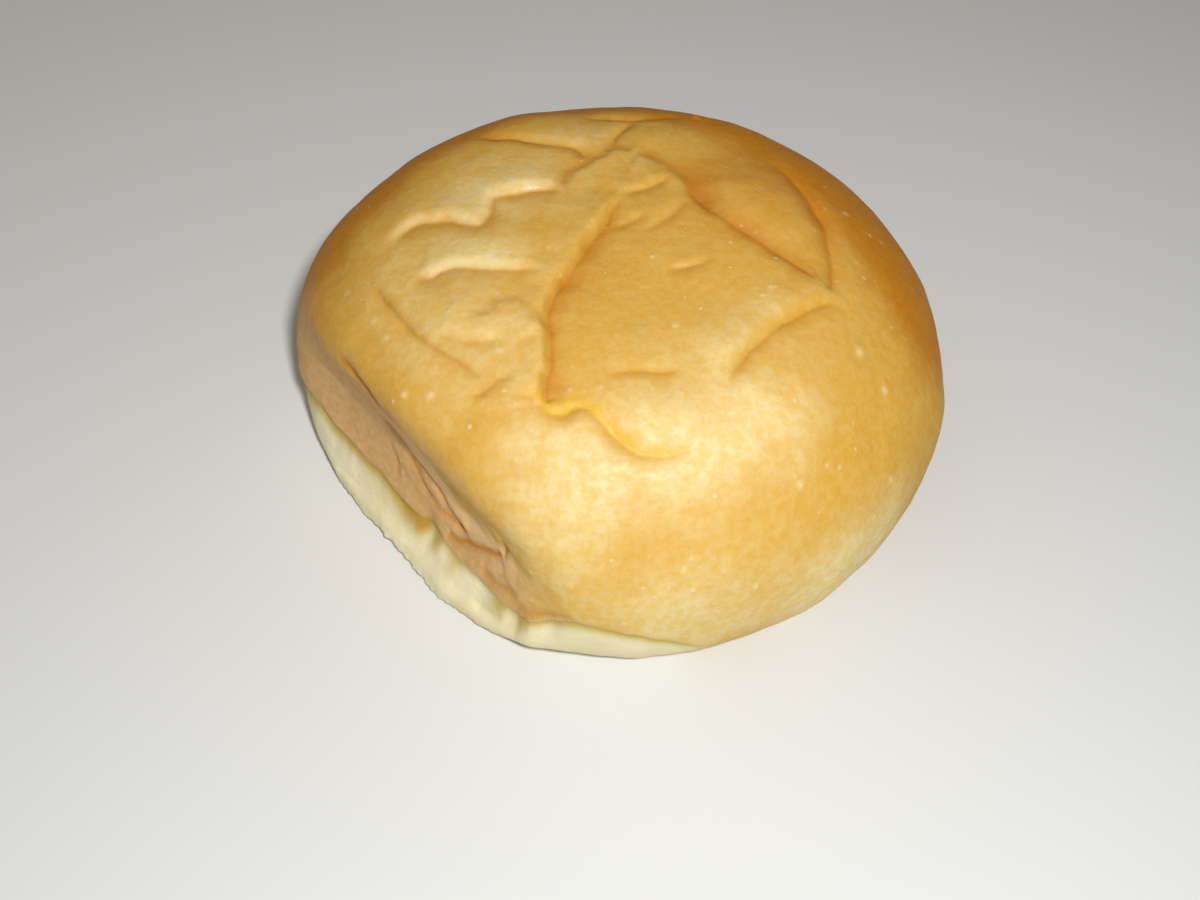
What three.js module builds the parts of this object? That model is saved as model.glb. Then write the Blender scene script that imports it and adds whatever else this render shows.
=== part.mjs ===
// A soft cream bun: one round, flat-bottomed piece of bread whose thin browned skin has sunk and
// wrinkled on top, and is pressed flat and folded on one side, above a pale bare rim.
// Millimetres, +Z up. The origin is the middle of the flat underside, and -Y is the front.
import * as THREE from "three";

// The smooth body
const DOME_HEIGHT = 47; // of the full dome, before its top sinks
const WIDEST_RADIUS = 53.5;
const WIDEST_HEIGHT = 14.5;
const BASE_RADIUS = 49.7;
const DOME_SQUARENESS = 2.15; // 2 is an ellipse, more is a squarer shoulder
const TUCK_POWER = 2.6; // how the side curves in from the widest height to the base

// The plan isn't quite round: it is longer at the back and a little fuller on the left
const PLAN_TO_THE_LEFT = 0.012;
const PLAN_TO_THE_BACK = 0.037;
const PLAN_WIDER_THAN_DEEP = 0.01;

// The sunken top
const SINK_DEPTH = 3.2;
const SINK_FLAT_RADIUS = 6;
const SINK_EDGE_RADIUS = 43;

// The side that is pressed flat, front left
const PRESS_AZIMUTH = THREE.MathUtils.degToRad(-138);
const PRESS_DISTANCE = 41; // from the axis to the flat side at the foot of the folded band
const PRESS_SOFTNESS = 5;
// How far the pressed side stands out past PRESS_DISTANCE, as [height, distance] from the base up
const PRESSED_SIDE = [
  [0, 4.4],
  [2.5, 3.7],
  [5, 2.4],
  [8, 1.2],
  [12, 0.1],
  [16, -0.6],
  [20, -0.9],
  [25, -0.2],
  [30, 1.6],
  [36, 3.2],
];

// The base is bare bread with an uneven edge
const EDGE_WAVES = [
  { count: 5, size: 0.35, turn: 0.6 },
  { count: 9, size: 0.3, turn: 2.1 },
  { count: 17, size: 0.2, turn: 4.0 },
];
const EDGE_WAVE_REACH = 9; // height over which the edge's waves fade out

// Relief of the skin. Its points are [x, y] on the skin as if it were peeled off and laid flat
// round the middle of the top, so the distance from [0, 0] is the way along the skin.
// A crease is a valley: depth at its line, and how far it spreads to the left and to the right of
// its direction. A step lowers the skin on the right of the line. Fade is the length over which it
// starts and ends.
const CREASES = {
  leftFlap: {
    path: [
      [-11.4, -32.7], [-11.5, -27.6], [-10.6, -26.1], [-11.2, -20.3], [-11.7, -16.2],
      [-9.7, -8.6], [-5.4, 0.5], [-3.5, 4.1], [-0.8, 11.6],
    ],
    depth: 1.0,
    spread: [2.8, 4.4],
    step: 1.1,
    fade: 4,
  },
  frontHook: {
    path: [
      [13.5, -37.8], [8.9, -39.9], [6.4, -40.5], [1.2, -39.3], [-2.3, -36], [-4.1, -34],
      [-7.2, -33.3], [-10.3, -34.1], [-12, -32.7], [-16.6, -28.9],
    ],
    depth: 1.0,
    spread: [2.8, 3.6],
    step: 0.1,
    fade: 4,
  },

  upperRightPanel: {
    path: [[0.8, 21.9], [4.5, 20], [6.6, 18.3], [10.5, 12], [13.3, 8.2]],
    depth: 0.8,
    spread: [4.5, 2.6],
    step: -0.4,
    fade: 4,
  },
  rightPanel: {
    path: [
      [6.6, 18.3], [10.5, 12], [16.5, 5.3], [23.4, 0.3], [26.2, -1.3], [31.5, -4.6],
    ],
    depth: 0.9,
    spread: [5.5, 4.0],
    step: 0.15,
    fade: 5,
  },

  rightRim: {
    path: [[19.8, 26.2], [26, 20.6], [30.1, 12.7], [31.7, 9], [32.8, 1.7], [32.9, -6.6]],
    depth: 0.7,
    spread: [3.2, 4.0],
    step: 0.25,
    fade: 8,
  },

  lowerRightRim: {
    path: [[34.3, -7.1], [31.2, -9], [25.7, -13.4], [21.7, -18], [18, -23.3], [14.5, -30]],
    depth: 0.8,
    spread: [3.2, 3.6],
    step: -0.4,
    fade: 6,
  },

  leftRim: {
    path: [
      [-19.8, -28.4], [-24.5, -25], [-28, -22], [-34.4, -14.5], [-37.1, -10.6], [-40.7, -3.3],
    ],
    depth: 0.65,
    spread: [3.0, 3.2],
    step: 0.15,
    fade: 5,
  },

  leftPinch: {
    path: [[-21.6, -32.4], [-21.8, -30.3], [-18.1, -27.9], [-15.5, -27.8]],
    depth: 0.7,
    spread: [2.0, 2.6],
    step: 0.2,
    fade: 2,
  },
  leftWrinkle: {
    path: [
      [-36.2, 0.6], [-33.5, 5.4], [-31.1, 5.8], [-24.5, 4.2], [-22.3, 3.6], [-20.9, 8.2],
      [-17.3, 10.7], [-15.4, 11.5], [-9.6, 11.2],
    ],
    depth: 0.7,
    spread: [2.4, 4.2],
    step: 0.5,
    fade: 4,
  },
  leftLowWrinkle: {
    path: [[-32.5, -6.5], [-29.6, -7.3], [-26, -5.6], [-23.9, -5.8], [-16.6, -6.7], [-11.6, -6.8]],
    depth: 0.5,
    spread: [2.0, 3.6],
    step: 0.4,
    fade: 4,
  },
  leftCurl: {
    path: [
      [-23.8, -16.7], [-20, -15.8], [-17.7, -13.1], [-16, -13.2], [-13.2, -17], [-11.7, -18.7],
    ],
    depth: 0.45,
    spread: [2.4, 2.2],
    step: -0.2,
    fade: 2,
  },
  backLeftFold: {
    path: [[-26.1, 29.3], [-18.7, 26.2], [-14.4, 24.3], [-9.6, 23.2], [-6.2, 19.9]],
    depth: 0.8,
    spread: [2.4, 3.2],
    step: 0.5,
    fade: 3,
  },
  tongueEdge: {
    path: [[0.8, 21.8], [-3.5, 21.6], [-6, 19], [-8.6, 16.8], [-9.6, 11.9]],
    depth: 0.9,
    spread: [2.2, 3.0],
    step: 0.5,
    fade: 2,
  },
  backPleat: {
    path: [[0.6, 32.7], [-2.6, 26], [-3.8, 22.1]],
    depth: 0.9,
    spread: [2.6, 2.2],
    step: -0.4,
    fade: 2,
  },
  sideFold: {
    path: [[-46.8, -16.5], [-46.5, -19], [-45.4, -22.2], [-43.6, -26.2], [-43.2, -29.5], [-43.6, -33]],
    depth: 0.7,
    spread: [2.8, 2.6],
    step: 0.3,
    fade: 4,
  },
  lowSideFold: {
    path: [
      [-52.4, -31], [-50.7, -36.5], [-47.9, -42], [-45.8, -45.5], [-44.3, -48.5], [-43.2, -51.4],
      [-40.8, -54.8], [-39, -56.3],
    ],
    depth: 0.7,
    spread: [2.6, 2.8],
    step: -0.2,
    fade: 3,
  },

  sidePleat: {
    path: [[-50, -38.4], [-49, -44.9], [-45.4, -50.8], [-42.3, -53.5], [-38, -56.4]],
    depth: 0.5,
    spread: [2.2, 2.2],
    step: 0.4,
    fade: 3,
  },
  sideTuck: {
    path: [[-45.7, -54.8], [-41.6, -57.1], [-34.6, -58.5], [-27.1, -58.4]],
    depth: 0.5,
    spread: [2.0, 2.2],
    step: 0.4,
    fade: 2,
  },
  skinEdge: {
    path: [
      [-74.8, 14], [-72.5, -10.3], [-71.5, -19.7], [-65.7, -34.7], [-58.5, -47.1], [-51.9, -52.9],
      [-46.3, -59.1], [-35.3, -66.1], [-26.1, -69.7], [-12.4, -69.4], [-0.9, -70], [6.1, -71.6],
      [28, -74.5],
    ],
    depth: 0.3,
    spread: [1.4, 3.6],
    step: 0.6,
    fade: 12,
  },
};
const CREASE_ROUNDING = 0.5; // of the bottom of a valley
const STEP_SHARPNESS = 1.0; // half the width of a step
const STEP_REACH = 6.5; // how far from the line a step is felt

// Swellings between the creases: middle [x, y], radius and height
const SWELLINGS = [
  { at: [21, 12], radius: 8, height: 1.5 }, // the back right panel
  { at: [-24, -15], radius: 7, height: 0.8 }, // the left panel, between its wrinkles
  { at: [-17, 0], radius: 6, height: 0.8 },
  { at: [5, -14], radius: 13, height: -0.5 }, // the middle panel lies low
  { at: [-16, 33], radius: 8, height: 0.9 }, // the back rim
  { at: [-8, -46], radius: 12, height: 0.8 }, // the front rim below the hook
  { at: [27, -27], radius: 11, height: 0.7 }, // the front right rim
  { at: [-21, -38], radius: 6, height: 0.5 },
  { at: [-33, -30], radius: 6, height: 0.5 },
  { at: [3, 27], radius: 5, height: 0.6 },
  { at: [-53, -53.5], radius: 3.2, height: -0.9 }, // hollows of the bare bread under the skin edge
  { at: [-46, -61], radius: 3.5, height: -0.5 },
  { at: [-36, -68], radius: 3.5, height: -0.4 },
  { at: [-25, -72.5], radius: 3, height: -0.7 },
  { at: [-14, -72], radius: 3.5, height: -0.6 },
  { at: [-1, -37.5], radius: 3.5, height: -0.3 },
  { at: [-8, -30.5], radius: 3, height: -0.4 },
  { at: [8, -34], radius: 5, height: 0.7 },
  { at: [-20, -77], radius: 6, height: 0.9 }, // the base bulges at the front
  { at: [-48, -64], radius: 5, height: 0.8 },
  { at: [-10, 40], radius: 9, height: -0.8 },
  { at: [66, -14], radius: 10, height: 0.8 },
  { at: [-60, -2], radius: 6, height: -0.5 },
  { at: [-57, 14], radius: 8, height: 0.6 },
];

// The mesh: rings of triangles round the middle of the top, ring k with 6 k corners
const SKIN_RINGS = 42;
const SECTORS = 6;
const UNDERSIDE_SHRINK = 0.75; // from each ring of the underside to the next
const PROFILE_STEPS = 240;
const GATHER = 0.5; // how far corners near a crease are drawn to its line, as a share of GATHER_WIDTH
const GATHER_WIDTH = 1.3;
const GATHER_REACH = [1.5, 5]; // from where the drawing fades, and where it ends
const NORMAL_STEP = 0.05; // for the slope of the smooth body
const SMOOTH_PATH_STEPS = 5; // pieces per stretch of a crease

// The profile from the middle of the top to the edge of the base: way along the skin, radius, height
function profileTable() {
  const points = [];
  for (let i = 0; i <= PROFILE_STEPS; i++) {
    const turn = (Math.PI / 2) * (1 - i / PROFILE_STEPS);
    const power = 2 / DOME_SQUARENESS;
    const radius = WIDEST_RADIUS * Math.max(Math.cos(turn), 0) ** power;
    const height = WIDEST_HEIGHT + (DOME_HEIGHT - WIDEST_HEIGHT) * Math.sin(turn) ** power;
    points.push([radius, height]);
  }
  for (let i = 1; i <= PROFILE_STEPS; i++) {
    const down = i / PROFILE_STEPS;
    const radius = WIDEST_RADIUS - (WIDEST_RADIUS - BASE_RADIUS) * down ** TUCK_POWER;
    points.push([radius, WIDEST_HEIGHT * (1 - down)]);
  }
  let way = 0;
  return points.map(([radius, height], i) => {
    if (i) way += Math.hypot(radius - points[i - 1][0], height - points[i - 1][1]);
    return { way, radius, height };
  });
}
const PROFILE = profileTable();
const SKIN_LENGTH = PROFILE[PROFILE.length - 1].way;

function profileAt(way) {
  let low = 0;
  let high = PROFILE.length - 1;
  while (high - low > 1) {
    const middle = (low + high) >> 1;
    if (PROFILE[middle].way > way) high = middle;
    else low = middle;
  }
  const a = PROFILE[low];
  const b = PROFILE[high];
  const share = (way - a.way) / (b.way - a.way);
  return [
    THREE.MathUtils.lerp(a.radius, b.radius, share),
    THREE.MathUtils.lerp(a.height, b.height, share),
  ];
}

// Straight stretches through [x, y] pairs that rise in x, level past the ends
function levelAt(pairs, x) {
  const last = pairs[pairs.length - 1];
  if (x <= pairs[0][0]) return pairs[0][1];
  if (x >= last[0]) return last[1];
  const i = pairs.findIndex((pair) => pair[0] > x);
  const [x0, y0] = pairs[i - 1];
  const [x1, y1] = pairs[i];
  return THREE.MathUtils.lerp(y0, y1, (x - x0) / (x1 - x0));
}

// The smaller of two values, rounded where they cross
function softMin(a, b, softness) {
  const share = THREE.MathUtils.clamp(0.5 + (0.5 * (b - a)) / softness, 0, 1);
  return b * (1 - share) + a * share - softness * share * (1 - share);
}

// The smooth body's surface over a point of the laid-out skin
function bodyPoint(x, y) {
  const way = Math.min(Math.hypot(x, y), SKIN_LENGTH);
  const azimuth = Math.atan2(y, x);
  let [radius, height] = profileAt(way);
  radius *=
    1 -
    PLAN_TO_THE_LEFT * Math.cos(azimuth) +
    PLAN_TO_THE_BACK * Math.sin(azimuth) +
    PLAN_WIDER_THAN_DEEP * Math.cos(2 * azimuth);
  const low = Math.max(0, 1 - height / EDGE_WAVE_REACH);
  for (const wave of EDGE_WAVES) radius += low * wave.size * Math.sin(wave.count * azimuth + wave.turn);
  height -= SINK_DEPTH * (1 - THREE.MathUtils.smoothstep(way, SINK_FLAT_RADIUS, SINK_EDGE_RADIUS));
  const point = new THREE.Vector3(radius * Math.cos(azimuth), radius * Math.sin(azimuth), height);
  const press = new THREE.Vector3(Math.cos(PRESS_AZIMUTH), Math.sin(PRESS_AZIMUTH), 0);
  const out = point.dot(press);
  const limit = PRESS_DISTANCE + levelAt(PRESSED_SIDE, height);
  return point.addScaledVector(press, softMin(out, limit, PRESS_SOFTNESS) - out);
}

function bodyNormal(x, y) {
  const alongX = bodyPoint(x + NORMAL_STEP, y).sub(bodyPoint(x - NORMAL_STEP, y));
  const alongY = bodyPoint(x, y + NORMAL_STEP).sub(bodyPoint(x, y - NORMAL_STEP));
  return alongX.cross(alongY).normalize();
}

// Each crease's path as a smooth run of points
const RUNS = Object.values(CREASES).map((crease) => {
  const corners = crease.path.map(([x, y]) => new THREE.Vector2(x, y));
  const points = new THREE.SplineCurve(corners).getPoints((corners.length - 1) * SMOOTH_PATH_STEPS);
  const ways = [0];
  for (let i = 1; i < points.length; i++) ways.push(ways[i - 1] + points[i].distanceTo(points[i - 1]));
  return { ...crease, points, ways };
});

// The point of a run nearest to a place: distance, side (above 0 on the left) and way along
function nearestOnRun(run, place) {
  let best = { distance: Infinity };
  for (let i = 1; i < run.points.length; i++) {
    const a = run.points[i - 1];
    const along = run.points[i].clone().sub(a);
    const off = place.clone().sub(a);
    const share = THREE.MathUtils.clamp(off.dot(along) / along.lengthSq(), 0, 1);
    const distance = off.clone().addScaledVector(along, -share).length();
    if (distance < best.distance) {
      const way = run.ways[i - 1] + share * along.length();
      best = { distance, side: Math.sign(along.cross(off)), way, direction: along.normalize() };
    }
  }
  return best;
}

// How far the skin stands out of the smooth body
function reliefAt(x, y) {
  const place = new THREE.Vector2(x, y);
  let relief = 0;
  for (const run of RUNS) {
    const { distance, side, way } = nearestOnRun(run, place);
    const fromEnd = Math.min(way, run.ways[run.ways.length - 1] - way);
    const strength = THREE.MathUtils.smoothstep(fromEnd, 0, run.fade);
    const spread = side > 0 ? run.spread[0] : run.spread[1];
    const rounded = Math.hypot(distance, CREASE_ROUNDING) - CREASE_ROUNDING;
    relief -= strength * run.depth * (1 - Math.sin((Math.PI / 2) * Math.min(rounded / spread, 1)));
    const step = Math.tanh((side * distance) / STEP_SHARPNESS) * Math.exp(-((distance / STEP_REACH) ** 2));
    relief += (strength * run.step * step) / 2;
  }
  for (const swelling of SWELLINGS) {
    const away = place.distanceTo(new THREE.Vector2(...swelling.at)) / swelling.radius;
    relief += swelling.height * Math.exp(-away * away);
  }
  return relief;
}

// A place moved towards the nearest crease, so that the mesh follows the crease's line
function gathered(x, y) {
  const place = new THREE.Vector2(x, y);
  let best = { distance: Infinity };
  for (const run of RUNS) {
    const found = nearestOnRun(run, place);
    const fromEnd = Math.min(found.way, run.ways[run.ways.length - 1] - found.way);
    if (found.distance < best.distance) best = { ...found, fromEnd };
  }
  const { distance, side, direction, fromEnd } = best;
  const reach = 1 - THREE.MathUtils.smoothstep(distance, ...GATHER_REACH);
  const inside = THREE.MathUtils.smoothstep(fromEnd, 0, 3);
  const pull = GATHER * GATHER_WIDTH * Math.tanh(distance / GATHER_WIDTH) * reach * inside;
  return [x + side * direction.y * pull, y - side * direction.x * pull];
}

// The skin's corners, from the middle of the top down to the edge of the base
function addSkin(corners, faces) {
  const ringStart = (ring) => (ring ? 1 + (SECTORS * ring * (ring - 1)) / 2 : 0);
  for (let ring = 0; ring <= SKIN_RINGS; ring++) {
    const way = (SKIN_LENGTH * ring) / SKIN_RINGS;
    const count = Math.max(SECTORS * ring, 1);
    for (let i = 0; i < count; i++) {
      const azimuth = (2 * Math.PI * i) / count;
      let [x, y] = [way * Math.cos(azimuth), way * Math.sin(azimuth)];
      if (ring < SKIN_RINGS) [x, y] = gathered(x, y);
      const point = bodyPoint(x, y);
      if (ring < SKIN_RINGS) point.addScaledVector(bodyNormal(x, y), reliefAt(x, y));
      else point.z = 0;
      corners.push(point);
    }
  }
  for (let ring = 1; ring <= SKIN_RINGS; ring++) {
    const outer = (i) => ringStart(ring) + (i % (SECTORS * ring));
    const inner = (i) => ringStart(ring - 1) + (ring > 1 ? i % (SECTORS * (ring - 1)) : 0);
    for (let sector = 0; sector < SECTORS; sector++) {
      for (let i = 0; i < ring; i++) {
        const o = sector * ring + i;
        const n = sector * (ring - 1) + i;
        faces.push(inner(n), outer(o), outer(o + 1));
        if (i < ring - 1) faces.push(inner(n), outer(o + 1), inner(n + 1));
      }
    }
  }
  return Array.from({ length: SECTORS * SKIN_RINGS }, (_, i) => ringStart(SKIN_RINGS) + i);
}

// The flat underside: each ring inwards has half the corners of the one outside it
function addUnderside(corners, faces, edge) {
  let rim = edge;
  while (rim.length % 2 === 0) {
    const next = rim
      .filter((_, i) => i % 2 === 0)
      .map((corner) => corners.push(corners[corner].clone().multiplyScalar(UNDERSIDE_SHRINK)) - 1);
    for (let i = 0; i < rim.length; i += 2) {
      const [a, b, c] = [rim[i], rim[i + 1], rim[(i + 2) % rim.length]];
      const [here, there] = [next[i / 2], next[(i / 2 + 1) % next.length]];
      faces.push(a, here, b, b, here, there, b, there, c);
    }
    rim = next;
  }
  const middle = corners.push(new THREE.Vector3(0, 0, 0)) - 1;
  rim.forEach((corner, i) => faces.push(corner, middle, rim[(i + 1) % rim.length]));
}

function bunGeometry() {
  const corners = [];
  const faces = [];
  const edge = addSkin(corners, faces);
  addUnderside(corners, faces, edge);
  const positions = new Float32Array(corners.flatMap((corner) => corner.toArray()));
  const geometry = new THREE.BufferGeometry();
  geometry.setAttribute("position", new THREE.BufferAttribute(positions, 3));
  geometry.setIndex(faces);
  geometry.computeVertexNormals();
  return geometry;
}

const crust = new THREE.MeshStandardMaterial({ color: 0xdda650, roughness: 0.5, metalness: 0 });
const bun = new THREE.Mesh(bunGeometry(), crust);
bun.name = "bun";

const part = new THREE.Group();
part.add(bun);
export default part;
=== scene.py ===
import math
from typing import NamedTuple

import bpy
import numpy as np
from bpy.props import FloatProperty, FloatVectorProperty, IntProperty, PointerProperty
from mathutils import Matrix, Vector, noise


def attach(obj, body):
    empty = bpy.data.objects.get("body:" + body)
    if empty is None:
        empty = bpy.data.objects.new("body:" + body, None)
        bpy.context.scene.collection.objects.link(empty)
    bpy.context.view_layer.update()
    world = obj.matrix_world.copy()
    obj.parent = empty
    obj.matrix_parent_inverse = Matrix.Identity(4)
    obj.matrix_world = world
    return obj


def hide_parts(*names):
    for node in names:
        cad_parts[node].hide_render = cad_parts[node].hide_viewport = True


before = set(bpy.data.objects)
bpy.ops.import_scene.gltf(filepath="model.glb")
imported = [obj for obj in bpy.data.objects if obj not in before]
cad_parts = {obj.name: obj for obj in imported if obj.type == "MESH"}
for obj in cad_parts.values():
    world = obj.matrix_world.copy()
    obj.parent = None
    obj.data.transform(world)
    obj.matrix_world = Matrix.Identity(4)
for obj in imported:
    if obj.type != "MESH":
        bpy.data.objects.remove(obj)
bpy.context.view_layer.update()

bl_info = {
    "name": "Soft Cream Bun",
    "version": (1, 0, 0),
    "blender": (4, 5, 0),
    "location": "View3D > Sidebar > Bun",
    "description": "Builds a soft bun with a sunken, wrinkled golden skin above a pale bare rim",
    "category": "Add Mesh",
}

MM = 0.001


class Crease(NamedTuple):
    """A line of the skin's relief. Lengths are in mm, and pairs are for its left and its right."""

    path: list
    depth: float
    # How far the valley spreads to each side
    spread: tuple
    # By how much the skin on the right lies lower
    step: float
    # Lengths over which it fades in at its start and out at its end
    fade: tuple
    # Rounding of its bottom
    soft: float = 0.2
    # Heights of the ridges that stand up beside it
    ridge: tuple = (0.0, 0.0)
    # Strength of the painted shade along its line, and the widths over which that painted shade fades
    tone: float = 0.0
    shade: tuple = (0.5, 0.5)
    # How amber its bottom is, and whether its raised side is smoother and painted pale as a highlight
    amber: float = 0.0
    glossy: bool = False


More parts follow.
